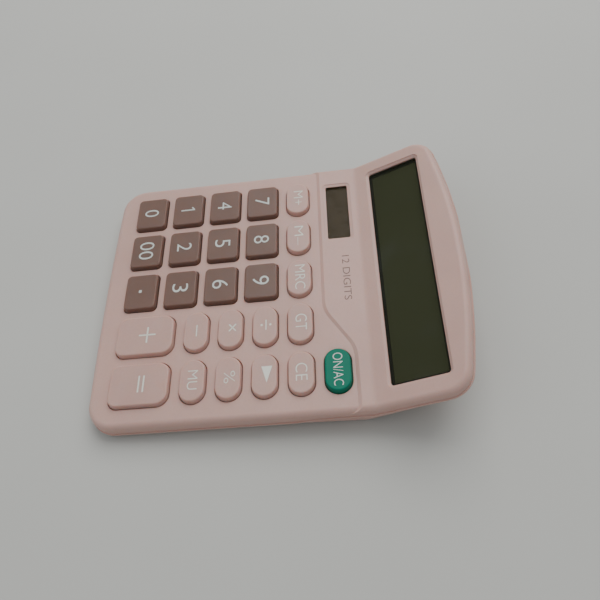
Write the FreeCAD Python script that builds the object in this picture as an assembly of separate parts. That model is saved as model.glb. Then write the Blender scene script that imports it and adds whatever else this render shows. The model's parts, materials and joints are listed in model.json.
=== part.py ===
import FreeCAD, Part

import math
import os
from FreeCAD import Placement, Rotation, Vector

# A desk calculator: a low key deck, a raised band with a solar window, and a display that leans
# back. Twenty-six keys travel square to the deck on a silicone sheet.
#
# Everything is drawn in the deck's own frame: X to the right, Y from a datum just ahead of the
# front edge towards the display, Z square to the key deck, with Z = 0 on the deck's surface. Two
# more frames hang on it: the display frame, tilted back about the crease, and the table frame,
# level with the feet.
# The finished pieces are set down level, centred over the origin, in place_on_table().

# ---- Case: millimetres and degrees ----
BODY_WIDTH = 120.0
DECK_LENGTH = 112.7            # datum to the crease, along the deck
FRONT_EDGE_Y = 1.3             # datum to the front edge
DISPLAY_LENGTH = 40.9          # crease to the far edge, up the middle of the display
FRONT_HEIGHT = 7.8             # deck surface above the table at the datum
DECK_SLOPE = 2.5               # deck above level
DISPLAY_TILT = 22.0            # display above the deck
CREASE_RADIUS = 6.0            # round of the crease on the outer surface
BAND_RISE = 0.8                # raised band above the key deck
FRONT_BOW_RADIUS = 1500.0
FAR_ARCH_RADIUS = 262.0
FRONT_CORNER_RADIUS = 11.0
FAR_CORNER_RADIUS = 9.5
TOP_ROUND = 2.4                # round along the top rim of the case
SIDE_WALL = 1.8
TOP_WALL = 1.6
UPPER_SKIRT_FRONT = 6.2        # deck surface to the upper housing's lower edge, front part
UPPER_SKIRT_REAR = 4.5         # the same behind the step in the lower edge
UPPER_SKIRT_DISPLAY = 4.6      # display surface to the lower edge
SKIRT_STEP_FRONT_Y = 82.0      # the lower edge steps up between these two
SKIRT_STEP_REAR_Y = 96.0
LOWER_INSET_FRONT = 1.5        # lower housing stands in from the upper's side, front part
LOWER_INSET_REAR = 0.5         # the same for the rear part, which bulges out
LOWER_BULGE_Y = 83.0           # the bulge starts here
LOWER_BULGE_RUN = 6.0          # and is at its full width this far on
LOWER_ROUND = 3.0              # round under the rear part's sides
LIP_PROUD = 0.4                # bead round the upper housing's lower edge
LIP_HEIGHT = 0.7
LOWER_WALL = 1.4
TONGUE_HEIGHT = 1.0
TONGUE_WALL = 1.0
TONGUE_LIFT = 0.5              # underside of the tongue's body above the housing's
PARTING_GAP = 0.15
FIT_GAP = 0.2                  # clearance round anything that drops into a seat
REAR_RISE_Y = 110.0            # the underside leaves the level here
REAR_RISE = 26.0               # and climbs at this angle to the deck

# ---- Step between key deck and band, an S in plan ----
STEP_LEFT_Y = 95.0
STEP_RIGHT_Y = 106.6
STEP_BEND_X = 16.0             # where the slanting stretch starts
STEP_SLANT = 33.0
STEP_BEND_RADIUS = 14.0
STEP_FACE_SLOPE = 30.0         # face of the step, above the deck

# ---- Keys ----
COLUMN_PITCH = 21.6
NUMBER_PITCH = 17.3
NUMBER_FIRST_Y = 18.1          # row of 0, 00 and point
OPERATOR_PITCH = 14.1
SUBTRACT_Y = 43.8
MEMORY_ROW_Y = 86.1
BIG_KEY_Y = 22.5
ON_KEY_Y = 100.0
NUMBER_HOLE = (18.5, 14.5)
FUNCTION_HOLE = (18.7, 10.7)
BIG_HOLE = (18.7, 24.5)
NUMBER_CORNER = 2.3
BIG_CORNER_FRONT = 4.0
BIG_CORNER_REAR = 5.0
KEY_GAP = 0.3                  # key side to hole side
KEY_HEIGHT = 2.0               # key top above the deck
KEY_DRAFT_X = 0.5              # the top is smaller than the foot by this, each side
KEY_DRAFT_Y = 0.2
KEY_TOP_ROUND = 0.5
KEY_WALL = 1.1
KEY_CROWN = 1.3                # thickness of the key's top
KEY_TRAVEL = 1.2
FLANGE_LIP = 0.6               # flange beyond the hole, each side
FLANGE_THICKNESS = 0.7
FLANGE_PLAY = 0.1              # flange below the deck's underside
PLUNGER_RADIUS = 1.6
PLUNGER_DROP = 0.5             # plunger below the flange

# ---- Keypad sheet and main board ----
SHEET_TOP = -(TOP_WALL + FLANGE_PLAY + FLANGE_THICKNESS + PLUNGER_DROP + KEY_TRAVEL + FIT_GAP)
SHEET_THICKNESS = 0.5
SKIRT_FOOT_RADIUS = 3.3
SKIRT_TOP_RADIUS = 2.5
SKIRT_BORE = 2.0
SKIRT_HEIGHT = 1.3
BOARD_THICKNESS = 1.0
BOARD_FRONT_Y = 10.6
BOARD_REAR_Y = 92.4
BOARD_SIDE_GAP = 0.5
TONGUE_LEFT_X = 30.0           # the board and sheet reach under the ON key from here
TONGUE_REAR_Y = 108.0
CHIP_RADIUS = 4.0
CHIP_HEIGHT = 0.9
CHIP_PLACE = (0.0, 79.0)
CHIP_ROUND = 0.7               # of the cap's height
BOARD_CORNER = 2.0
TONGUE_CORNER = 1.0
SHEET_MARGIN = 1.0             # sheet inside the board's outline

# ---- Fasteners ----
SCREW_CORE = 1.8
SCREW_PILOT = 1.9
SCREW_HEAD = 4.0
SCREW_HEAD_HEIGHT = 1.0
SCREW_SHANK = 4.2
SCREW_SLOT = 0.8
SCREW_SLOT_LENGTH = 0.6        # of the head's diameter
SCREW_SLOT_DEPTH = 0.5         # of the head's height
SCREW_HEAD_ROUND = 0.4         # of the head's height
BOSS_RADIUS = 2.2
POST_RADIUS = 3.2
POST_GAP = 0.4                 # board and sheet stand this far off a post
BOSS_GAP = 0.1
SEAT_WALL = 0.8                # plastic between a screw head and its boss
PILOT_SPARE = 0.3              # pilot hole beyond the screw's tip
SIDE_SCREW_X = 55.7
FRONT_SCREWS_Y = 6.9
FRONT_SCREWS_X = 45.0
SIDE_SCREWS_Y = 61.4
REAR_SCREWS_Y = 144.2
REAR_SCREWS_X = 34.0
DECK_SEAT_Z = -6.3             # under-head plane of the deck's case screws
BOARD_SCREW_CORE = 1.4
BOARD_SCREW_PILOT = 1.5
BOARD_SCREW_HEAD = 3.0
BOARD_SCREW_HEAD_HEIGHT = 0.7
BOARD_SCREW_SHANK = 3.0
BOARD_SCREWS_X = 55.2
BOARD_SCREWS_Y = (36.0, 80.0)
BOARD_BOSS_RADIUS = 1.7

# ---- Display ----
LCD_WINDOW = (103.8, 22.5)
LCD_WINDOW_W = 17.5            # crease to the middle of the window, up the display
LCD_WINDOW_CORNER = 1.3
LCD_RIM = 1.1                  # width of the sloping rim
LCD_RIM_DEPTH = 1.0
RIM_STEP = 0.2                 # each sloping rim starts with this small step down
WINDOW_OVERLAP = 1.6           # window plate beyond the opening, each side
WINDOW_THICKNESS = 1.0
LCD_GLASS = (101.0, 20.5)
LCD_THICKNESS = 1.6
LCD_GAP = 0.1
FRAME_WALL = 1.4
FRAME_DEPTH = 1.7
FRAME_CORNER = 0.3
CONNECTOR_WIDTH = 1.6
CONNECTOR_HEIGHT = 0.9
CONNECTOR_END_GAP = 3.0        # glass beyond the connector, each end
CONNECTOR_CORNER = 0.1
LEDGE_SPARE = 0.6              # bare ledge beyond the connector
DISPLAY_BOARD = (96.0, 9.0)
DISPLAY_BOARD_CORNER = 0.5
RIBBON_THICKNESS = 0.2
RIBBON_WIDTH = 16.0
RIBBON_GAP = 2.0               # ribbon to the battery well
RIBBON_START = 4.0             # its start ahead of the main board's rear edge
RIBBON_LEVEL = 20.0            # level stretch behind that edge
RIBBON_JOIN = (1.0, 5.0)       # stretch along the display board, from the connector's middle

# ---- Solar cell ----
SOLAR_WINDOW = (29.7, 9.7)
SOLAR_PLACE = (-34.2, 103.8)
SOLAR_CORNER = 0.8
SOLAR_RIM = 1.3
SOLAR_RIM_DEPTH = 0.5
SOLAR_PLATE_THICKNESS = 0.8
SOLAR_SKIN = 0.9               # wall left over the window plate
SOLAR_CELL_THICKNESS = 1.1
SOLAR_CELL_MARGIN = 1.0        # cell beyond the window, each side
SOLAR_CELL_CORNER = 0.3
LEAD_RADIUS = 0.4
LEAD_LENGTH = 2.5

# ---- Battery ----
CELL_RADIUS = 5.8
CELL_HEIGHT = 5.4
CELL_PLACE = (-8.0, 100.6)
WELL_WALL = 1.2
WELL_GAP = 0.5
WELL_CORNER = 2.0
WELL_ROOM = 1.0                # well top to the deck's underside
CELL_CAP_HEIGHT = 0.5
CELL_CAP_STEP = 1.0            # the cell's lower cap is smaller than its can by this
COVER_SIZE = (34.0, 17.0)
COVER_CENTRE_X = 0.0
COVER_THICKNESS = 1.2
COVER_LEDGE = 1.2
COVER_CORNER = 2.0
COVER_SCREW_X = 12.0
COVER_BOSS_WALL = 0.6          # added round the cover screw's boss
COVER_BOSS_DROP = 2.0          # its top below the well's
NOTCH_SIZE = (2.0, 8.0)        # finger notch
NOTCH_CORNER = 0.9
NOTCH_INSET = 4.0              # its middle from the cover's edge
CONTACT_THICKNESS = 0.3
CONTACT_WIDTH = 4.0
CONTACT_RISE = 1.0             # side contact above the cell's underside
CONTACT_LEAF = 2.4             # height of its leaf against the cell
CONTACT_SLOT = 3.0
CONTACT_TAIL = 4.0
CONTACT_DROP = 3.0             # tail of the top contact
CONTACT_OVERLAP = 2.0          # top contact past the cell's middle

# ---- Feet ----
FOOT_RADIUS = 4.0
FOOT_PROUD = 0.8
FOOT_POCKET = 0.5
FOOT_X = 49.0
FOOT_FRONT_Y = 15.0
FOOT_REAR_Y = 101.0

REACH = 400.0                  # longer than the whole case, for cutting solids
START_Y = -20.0                # lines of the side view start here, ahead of the case
PAST = 1.0                     # a cut runs this far past the surface it opens
WELD = 0.1                     # overlap of two shapes that become one
NEAR = 1e-4                    # distance taken as touching
SHARP = 0.2                    # least corner radius that is drawn
HALF_WIDTH = BODY_WIDTH / 2
TILT = math.radians(DISPLAY_TILT)
SLOPE = math.radians(DECK_SLOPE)

DISPLAY_FRAME = Placement(Vector(0, DECK_LENGTH, BAND_RISE), Rotation(Vector(1, 0, 0), DISPLAY_TILT))
TABLE_FRAME = Placement(Vector(0, 0, -FRONT_HEIGHT), Rotation(Vector(1, 0, 0), -DECK_SLOPE))


# ---------------------------------------------------------------- drawing helpers

def rounded_outline(points, radii):
    """A closed wire through points in the XY plane, each corner rounded to its own radius."""
    count = len(points)
    corners = [Vector(x, y, 0) for x, y in points]
    edges, starts, ends = [], [], []
    for index, corner in enumerate(corners):
        back = (corners[index - 1] - corner).normalize()
        ahead = (corners[(index + 1) % count] - corner).normalize()
        turn = back.getAngle(ahead)
        reach = radii[index] / math.tan(turn / 2)
        middle = (back + ahead).normalize()
        centre = corner + middle * (radii[index] / math.sin(turn / 2))
        starts.append(corner + back * reach)
        ends.append(corner + ahead * reach)
        if radii[index] > 0:
            edges.append(Part.Arc(starts[-1], centre - middle * radii[index], ends[-1]).toShape())
    for index in range(count):
        start, end = ends[index], starts[(index + 1) % count]
        if start.distanceToPoint(end) > NEAR:
            edges.append(Part.LineSegment(start, end).toShape())
    return Part.Wire(Part.__sortEdges__(edges))


def rectangle(size, centre, radii, z=0.0):
    """A rounded rectangle at height z. radii is one number, or front and rear corner radii."""
    front, rear = radii if isinstance(radii, tuple) else (radii, radii)
    half_x, half_y = size[0] / 2, size[1] / 2
    x, y = centre
    points = [(x - half_x, y - half_y), (x + half_x, y - half_y),
              (x + half_x, y + half_y), (x - half_x, y + half_y)]
    wire = rounded_outline(points, [front, front, rear, rear])
    wire.translate(Vector(0, 0, z))
    return wire


def prism(wire, low, high):
    """The solid over a wire drawn in the XY plane, from height low to high."""
    solid = Part.Face(wire).extrude(Vector(0, 0, high - low))
    solid.translate(Vector(0, 0, low))
    return solid


def plate(size, centre, radii, low, high):
    """A flat plate with rounded corners."""
    return prism(rectangle(size, centre, radii), low, high)


def pin(radius, x, y, low, high):
    """An upright round pin."""
    return Part.makeCylinder(radius, high - low, Vector(x, y, low))


def tube(outer, inner, x, y, low, high):
    """An upright tube."""
    return pin(outer, x, y, low, high).cut(pin(inner, x, y, low - PAST, high + PAST))


def taper(lower, upper):
    """The solid between two outlines with the same corners."""
    return Part.makeLoft([lower, upper], True)


def in_frame(shape, frame):
    """A copy of a shape drawn in another frame, brought into the deck's frame."""
    placed = shape.copy()
    placed.Placement = frame.multiply(placed.Placement)
    return placed


def side_band(points):
    """A side view given as (Y, Z) points, widened past both sides of the case."""
    corners = [Vector(-REACH / 2, y, z) for y, z in points]
    face = Part.Face(Part.makePolygon(corners + [corners[0]]))
    return face.extrude(Vector(REACH, 0, 0))


def union(first, others):
    """One solid from a first shape and a list of shapes that join it."""
    return first.fuse(list(others)).removeSplitter() if others else first


# ---------------------------------------------------------------- lines of the side view

def display_point(w, t=0.0):
    """The (Y, Z) in the deck's frame of a place w up the display and t above its surface."""
    return (DECK_LENGTH + w * math.cos(TILT) - t * math.sin(TILT),
            BAND_RISE + w * math.sin(TILT) + t * math.cos(TILT))


def crease(deck_z, display_t):
    """The (Y, Z) where a level at deck_z meets a plane display_t above the display."""
    w = (deck_z - BAND_RISE - display_t * math.cos(TILT)) / math.sin(TILT)
    return display_point(w, display_t)


def underside_z(y):
    """Height in the deck's frame of the lower housing's level underside."""
    return -FRONT_HEIGHT + FOOT_PROUD - y * math.tan(SLOPE)


def underside_points():
    """The underside's side view, front to rear."""
    start = (REAR_RISE_Y, underside_z(REAR_RISE_Y))
    run = DISPLAY_LENGTH * 2
    end = (start[0] + run, start[1] + run * math.tan(math.radians(REAR_RISE)))
    return [(START_Y, underside_z(START_Y)), start, end]


def underside_at(y):
    """Height of the underside at y, on either stretch."""
    if y <= REAR_RISE_Y:
        return underside_z(y)
    return underside_z(REAR_RISE_Y) + (y - REAR_RISE_Y) * math.tan(math.radians(REAR_RISE))


def parting_points(lift):
    """The line where the two housings meet, front to rear, moved up by lift."""
    rear_z = -UPPER_SKIRT_REAR + lift
    bend = crease(rear_z, -UPPER_SKIRT_DISPLAY + lift)
    end = display_point(DISPLAY_LENGTH * 2, -UPPER_SKIRT_DISPLAY + lift)
    return [(START_Y, -UPPER_SKIRT_FRONT + lift), (SKIRT_STEP_FRONT_Y, -UPPER_SKIRT_FRONT + lift),
            (SKIRT_STEP_REAR_Y, rear_z), bend, end]


# ---------------------------------------------------------------- the case's plan outline

def plan_solid(inset):
    """Everything inside the case's outline, seen along the deck's and the display's normals."""
    half = HALF_WIDTH - inset
    slab = Part.makeBox(2 * half, REACH, REACH, Vector(-half, 0, -REACH / 2))
    bow = FRONT_BOW_RADIUS
    front = Part.makeCylinder(bow - inset, REACH, Vector(0, bow + FRONT_EDGE_Y, -REACH / 2))
    front = round_uprights(slab.common(front), Vector(0, 0, 1), FRONT_CORNER_RADIUS - inset, REACH / 4)
    slab = Part.makeBox(2 * half, REACH, REACH, Vector(-half, -REACH + DISPLAY_LENGTH, -REACH / 2))
    arch_centre = Vector(0, DISPLAY_LENGTH - FAR_ARCH_RADIUS, -REACH / 2)
    far_side = slab.common(Part.makeCylinder(FAR_ARCH_RADIUS - inset, REACH, arch_centre))
    far_side = round_uprights(far_side, Vector(0, 0, 1), FAR_CORNER_RADIUS - inset, -REACH / 4, above=False)
    return front.common(in_frame(far_side, DISPLAY_FRAME))


def round_uprights(solid, direction, radius, limit, above=True):
    """Round the upright edges at the solid's outer end, before or past y = limit."""
    picked = []
    for edge in solid.Edges:
        if len(edge.Vertexes) != 2:
            continue
        first, last = (vertex.Point for vertex in edge.Vertexes)
        upright = (last - first).cross(direction).Length < NEAR
        at_end = first.y < limit if above else first.y > limit
        if upright and at_end:
            picked.append(edge)
    return solid.makeFillet(radius, picked)


def on_surface(point, deck_z, display_t):
    """True where a point lies on the level at deck_z or on the plane display_t above the display."""
    local = DISPLAY_FRAME.inverse().multVec(point)
    return abs(point.z - deck_z) < NEAR or abs(local.z - display_t) < NEAR


def round_top(solid, deck_z, display_t, radius):
    """Round the rim where the top surfaces meet the sides."""
    bend_y = crease(deck_z, display_t)[0]
    picked = []
    for edge in solid.Edges:
        ends = [vertex.Point for vertex in edge.Vertexes]
        middle = edge.valueAt((edge.FirstParameter + edge.LastParameter) / 2)
        crosswise = all(abs(point.y - middle.y) < NEAR for point in ends) and abs(middle.x) < NEAR
        near_bend = abs(middle.y - bend_y) < 2 * CREASE_RADIUS
        arc_on_side = near_bend and abs(abs(middle.x) - HALF_WIDTH) < radius / 2
        on_top = all(on_surface(point, deck_z, display_t) for point in ends)
        on_rim = on_surface(middle, deck_z, display_t) or arc_on_side
        if on_top and on_rim and not (crosswise and near_bend):
            picked.append(edge)
    return solid.makeFillet(radius, picked)


def top_profile(deck_z, display_t, bend_radius):
    """The top line of the side view as edges, with the crease rounded."""
    bend = crease(deck_z, display_t)
    far = display_point(DISPLAY_LENGTH * 2, display_t)
    reach = bend_radius * math.tan(TILT / 2)
    start = Vector(0, bend[0] - reach, deck_z)
    ahead = Vector(0, math.cos(TILT), math.sin(TILT))
    end = Vector(0, bend[0], bend[1]) + ahead * reach
    centre = start + Vector(0, 0, bend_radius)
    half = TILT / 2
    middle = centre + Vector(0, math.sin(half), -math.cos(half)) * bend_radius
    edges = [Part.LineSegment(Vector(0, START_Y, deck_z), start).toShape(),
             Part.Arc(start, middle, end).toShape(),
             Part.LineSegment(end, Vector(0, far[0], far[1])).toShape()]
    return edges, Vector(0, START_Y, deck_z), Vector(0, far[0], far[1])


def case_solid(inset, deck_z, display_t, bend_radius, bottom):
    """The case's volume inside an inset outline, from a bottom line up to the top surfaces."""
    edges, first, last = top_profile(deck_z, display_t, bend_radius)
    low = [Vector(0, y, z) for y, z in bottom]
    path = [first] + low + [last]
    for start, end in zip(path, path[1:]):
        edges.append(Part.LineSegment(start, end).toShape())
    face = Part.Face(Part.Wire(Part.__sortEdges__(edges)))
    face.translate(Vector(-REACH / 2, 0, 0))
    return face.extrude(Vector(REACH, 0, 0)).common(plan_solid(inset))


def behind_step():
    """Everything behind the S-shaped step, its face leaning back."""
    rise = STEP_RIGHT_Y - STEP_LEFT_Y
    slant_end_x = STEP_BEND_X + rise / math.tan(math.radians(STEP_SLANT))
    points = [(-REACH / 2, STEP_LEFT_Y), (STEP_BEND_X, STEP_LEFT_Y), (slant_end_x, STEP_RIGHT_Y),
              (REACH / 2, STEP_RIGHT_Y), (REACH / 2, REACH), (-REACH / 2, REACH)]
    outline = rounded_outline(points, [0, STEP_BEND_RADIUS, STEP_BEND_RADIUS, 0, 0, 0])
    depth = REACH / 20
    run = depth / math.tan(math.radians(STEP_FACE_SLOPE))
    outline.translate(Vector(0, -run, -depth))
    return Part.Face(outline).extrude(Vector(0, 2 * run, 2 * depth))


# ---------------------------------------------------------------- keys: sizes and places

def key_table():
    """Every key: name, place of its middle on the deck, hole size and hole corner radii."""
    columns = [(index - 2) * COLUMN_PITCH for index in range(5)]
    rows = [NUMBER_FIRST_Y + index * NUMBER_PITCH for index in range(4)]
    numbers = [["0", "00", "point"], ["1", "2", "3"], ["4", "5", "6"], ["7", "8", "9"]]
    operators = [["subtract", "mark_up"], ["multiply", "percent"], ["divide", "right_shift"]]
    memory = ["memory_plus", "memory_minus", "memory_recall", "grand_total", "clear_entry"]
    full = FUNCTION_HOLE[1] / 2
    keys = []
    for row, names in zip(rows, numbers):
        for x, name in zip(columns, names):
            keys.append((name, (x, row), NUMBER_HOLE, NUMBER_CORNER))
    for index, names in enumerate(operators):
        for x, name in zip(columns[3:], names):
            keys.append((name, (x, SUBTRACT_Y + index * OPERATOR_PITCH), FUNCTION_HOLE, full))
    for x, name in zip(columns[3:], ["add", "equals"]):
        keys.append((name, (x, BIG_KEY_Y), BIG_HOLE, (BIG_CORNER_FRONT, BIG_CORNER_REAR)))
    for x, name in zip(columns, memory):
        keys.append((name, (x, MEMORY_ROW_Y), FUNCTION_HOLE, full))
    keys.append(("on_clear", (columns[4], ON_KEY_Y), FUNCTION_HOLE, full))
    return keys


def shrink(size, radii, by_x, by_y=None):
    """A size and its corner radii drawn in by so much each side, and the radii kept drawable."""
    by_y = by_x if by_y is None else by_y
    new = (size[0] - 2 * by_x, size[1] - 2 * by_y)
    limit = min(new) / 2 - 10 * NEAR
    pair = radii if isinstance(radii, tuple) else (radii, radii)
    return new, tuple(max(SHARP, min(radius - min(by_x, by_y), limit)) for radius in pair)


def key(place, hole, radii):
    """One hollow key cap with a flange under the deck and a plunger over its dome."""
    flange_top = -TOP_WALL - FLANGE_PLAY
    flange_low = flange_top - FLANGE_THICKNESS
    foot_size, foot_radii = shrink(hole, radii, KEY_GAP)
    top_size, top_radii = shrink(foot_size, foot_radii, KEY_DRAFT_X, KEY_DRAFT_Y)
    flange_size, flange_radii = shrink(hole, radii, -FLANGE_LIP)
    hollow_size, hollow_radii = shrink(foot_size, foot_radii, KEY_WALL)
    cap = taper(rectangle(foot_size, place, foot_radii),
                rectangle(top_size, place, top_radii, KEY_HEIGHT))
    rim = [edge for edge in cap.Edges if all(abs(v.Z - KEY_HEIGHT) < NEAR for v in edge.Vertexes)]
    cap = cap.makeFillet(KEY_TOP_ROUND, rim)
    body = union(cap, [plate(foot_size, place, foot_radii, flange_low, 0),
                       plate(flange_size, place, flange_radii, flange_low, flange_top)])
    ceiling = KEY_HEIGHT - KEY_CROWN
    body = body.cut(plate(hollow_size, place, hollow_radii, flange_low - PAST, ceiling))
    return union(body, [pin(PLUNGER_RADIUS, *place, flange_low - PLUNGER_DROP, ceiling + WELD)])


# ---------------------------------------------------------------- screw places

def case_screw_places():
    """Middle and under-head height of each case screw."""
    front_seat = underside_at(FRONT_SCREWS_Y) + SCREW_HEAD_HEIGHT + FIT_GAP
    rear_seat = underside_at(REAR_SCREWS_Y + SCREW_HEAD / 2) + SCREW_HEAD_HEIGHT + FIT_GAP
    places = []
    for side in (-1, 1):
        places.append((side * FRONT_SCREWS_X, FRONT_SCREWS_Y, front_seat))
        places.append((side * SIDE_SCREW_X, SIDE_SCREWS_Y, DECK_SEAT_Z))
        places.append((side * REAR_SCREWS_X, REAR_SCREWS_Y, rear_seat))
    return places


def board_screw_places():
    """Middle of each screw that holds the main board up to the deck."""
    return [(side * BOARD_SCREWS_X, y) for side in (-1, 1) for y in BOARD_SCREWS_Y]


def screw(core, head, head_height, shank, x, y, seat):
    """A pan-head screw drawn at its core diameter, its cross slot cut in the head."""
    body = union(pin(head / 2, x, y, seat - head_height, seat), [pin(core / 2, x, y, seat, seat + shank)])
    rim = [edge for edge in body.Edges if all(abs(v.Z - seat + head_height) < NEAR for v in edge.Vertexes)]
    body = body.makeFillet(head_height * SCREW_HEAD_ROUND, rim)
    width, length, depth = SCREW_SLOT, head * SCREW_SLOT_LENGTH, head_height * SCREW_SLOT_DEPTH
    low = seat - head_height - PAST
    for size in ((length, width), (width, length)):
        corner = Vector(x - size[0] / 2, y - size[1] / 2, low)
        body = body.cut(Part.makeBox(size[0], size[1], PAST + depth, corner))
    return body


# ---------------------------------------------------------------- housings

def upper_housing():
    """Key deck, raised band, display bezel and skirt as one moulded shell."""
    bottom = parting_points(0.0)
    raised = case_solid(0.0, BAND_RISE, 0.0, CREASE_RADIUS, bottom)
    raised = round_top(raised, BAND_RISE, 0.0, TOP_ROUND)
    low_deck = case_solid(0.0, 0.0, 0.0, CREASE_RADIUS, bottom)
    low_deck = round_top(low_deck, 0.0, 0.0, TOP_ROUND)
    rear_region = behind_step()
    lip = side_band(list(reversed(parting_points(LIP_HEIGHT))) + bottom).common(plan_solid(-LIP_PROUD))
    shell = low_deck.cut(rear_region).fuse([raised.common(rear_region), lip]).removeSplitter()
    inner_bend = CREASE_RADIUS + TOP_WALL
    shell = shell.cut(case_solid(SIDE_WALL, -TOP_WALL, -TOP_WALL, inner_bend, parting_points(-PAST)))
    low, high = -TOP_WALL - PAST, BAND_RISE + PAST
    cuts = [plate(hole, place, radii, low, high) for _, place, hole, radii in key_table()]
    cuts += [in_frame(shape, DISPLAY_FRAME) for shape in lcd_opening()]
    cuts += solar_opening()
    shell = shell.cut(cuts)
    return union(shell, upper_bosses())


def lcd_opening():
    """The display opening with its sloping rim, drawn in the display frame."""
    size, centre, radius = LCD_WINDOW, (0, LCD_WINDOW_W), LCD_WINDOW_CORNER
    through = plate(size, centre, radius, -TOP_WALL - PAST, PAST)
    wide, wide_radii = shrink(size, radius, -LCD_RIM)
    rim = taper(rectangle(size, centre, radius, -LCD_RIM_DEPTH),
                rectangle(wide, centre, wide_radii, -RIM_STEP))
    return [through, rim, plate(wide, centre, wide_radii, -RIM_STEP, PAST)]


def solar_opening():
    """The solar window's opening, its sloping rim and the seat for its plate underneath."""
    low, high = -TOP_WALL - PAST, BAND_RISE + PAST
    through = plate(SOLAR_WINDOW, SOLAR_PLACE, SOLAR_CORNER, low, high)
    wide, wide_radii = shrink(SOLAR_WINDOW, SOLAR_CORNER, -SOLAR_RIM)
    rim = taper(rectangle(SOLAR_WINDOW, SOLAR_PLACE, SOLAR_CORNER, BAND_RISE - SOLAR_RIM_DEPTH),
                rectangle(wide, SOLAR_PLACE, wide_radii, BAND_RISE - RIM_STEP))
    step = plate(wide, SOLAR_PLACE, wide_radii, BAND_RISE - RIM_STEP, high)
    seat_size, seat_radii = shrink(SOLAR_WINDOW, SOLAR_CORNER, -WINDOW_OVERLAP - FIT_GAP)
    seat = plate(seat_size, SOLAR_PLACE, seat_radii, low, BAND_RISE - SOLAR_SKIN)
    return [through, rim, step, seat]


def upper_bosses():
    """Screw bosses that hang from the ceiling for the case screws and the board screws."""
    skin_z = -TOP_WALL / 2
    bend = CREASE_RADIUS + TOP_WALL / 2
    within = case_solid(SIDE_WALL / 2, skin_z, skin_z, bend, parting_points(-REACH / 8))
    bosses = []
    for x, y, seat in case_screw_places():
        low = seat + SEAT_WALL + BOSS_GAP
        boss = pin(BOSS_RADIUS, x, y, low, BAND_RISE + DISPLAY_LENGTH).common(within)
        bosses.append(boss.cut(pin(SCREW_PILOT / 2, x, y, low - PAST, seat + SCREW_SHANK + PILOT_SPARE)))
    board_top = SHEET_TOP - SHEET_THICKNESS
    for x, y in board_screw_places():
        boss = pin(BOARD_BOSS_RADIUS, x, y, board_top, skin_z)
        pilot_end = board_top + BOARD_SCREW_SHANK - BOARD_THICKNESS + PILOT_SPARE
        bosses.append(boss.cut(pin(BOARD_SCREW_PILOT / 2, x, y, board_top - PAST, pilot_end)))
    return bosses


def lower_volume(inset, top_points, underside_lift):
    """The lower housing's volume inside an inset outline, between its underside and a top line."""
    low = [(y, z + underside_lift) for y, z in underside_points()]
    return side_band(list(reversed(top_points)) + low).common(plan_solid(inset))


def lower_housing():
    """The tub under the keys and the back of the display, with its posts, seats and battery well."""
    meeting = parting_points(-PARTING_GAP)
    front_part = lower_volume(LOWER_INSET_FRONT, meeting, 0.0)
    rear_part = round_underneath(lower_volume(LOWER_INSET_REAR, meeting, 0.0).common(bulge_plan()))
    tongue_outer = SIDE_WALL + FIT_GAP
    tongue = lower_volume(tongue_outer, parting_points(TONGUE_HEIGHT), TONGUE_LIFT)
    tub = front_part.fuse([rear_part, tongue]).removeSplitter()
    hollow = lower_volume(tongue_outer + TONGUE_WALL, parting_points(TONGUE_HEIGHT + PAST), LOWER_WALL)
    tub = tub.cut(hollow)
    posts, wells = case_posts()
    tub = union(tub, posts + [in_frame(shape, TABLE_FRAME) for shape in battery_well_walls()])
    cuts = wells + [in_frame(shape, TABLE_FRAME) for shape in battery_cuts() + foot_pockets()]
    return tub.cut(cuts)


def bulge_plan():
    """Everything behind the start of the lower housing's bulge, which widens over a short run."""
    start, full = HALF_WIDTH - LOWER_INSET_FRONT, HALF_WIDTH
    near, far = LOWER_BULGE_Y, LOWER_BULGE_Y + LOWER_BULGE_RUN
    points = [(-start, near), (start, near), (full, far), (full, REACH), (-full, REACH), (-full, far)]
    return prism(rounded_outline(points, [0] * len(points)), -REACH / 2, REACH / 2)


def round_underneath(solid):
    """Round the edges where the underside meets the sides of the rear part."""
    picked = []
    for edge in solid.Edges:
        ends = [vertex.Point for vertex in edge.Vertexes]
        middle = edge.valueAt((edge.FirstParameter + edge.LastParameter) / 2)
        under = all(abs(point.z - underside_at(point.y)) < NEAR for point in ends + [middle])
        crosswise = all(abs(point.y - middle.y) < NEAR for point in ends) and middle.y < REAR_RISE_Y + PAST
        if under and not crosswise:
            picked.append(edge)
    return solid.makeFillet(LOWER_ROUND, picked)


def case_posts():
    """Posts in the lower housing under each boss, and the wells that the screws go up through."""
    posts, wells = [], []
    for x, y, seat in case_screw_places():
        low = underside_at(y - POST_RADIUS) - POST_RADIUS
        above_underside = lower_volume(SIDE_WALL + FIT_GAP, parting_points(REACH / 8), LOWER_WALL / 2)
        posts.append(pin(POST_RADIUS, x, y, low, seat + SEAT_WALL).common(above_underside))
        wells.append(pin(SCREW_HEAD / 2 + FIT_GAP, x, y, low, seat))
        wells.append(pin(SCREW_CORE / 2 + FIT_GAP, x, y, seat - PAST, seat + SCREW_SHANK))
        wells.append(pin(BOSS_RADIUS + FIT_GAP, x, y, seat + SEAT_WALL, seat + SEAT_WALL + BOSS_RADIUS))
    wells.append(in_frame(lcd_frame_block(FIT_GAP), DISPLAY_FRAME))
    return posts, wells


# ---------------------------------------------------------------- battery, drawn in the table frame

def well_top():
    """Top of the battery well above the table, one clearance under the deck."""
    deck_height = FRONT_HEIGHT + CELL_PLACE[1] * math.sin(SLOPE) - TOP_WALL
    return deck_height - WELL_ROOM


def cell_low():
    """Underside of the cell above the table, just inside its cover."""
    return FOOT_PROUD + COVER_THICKNESS + FIT_GAP


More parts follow.
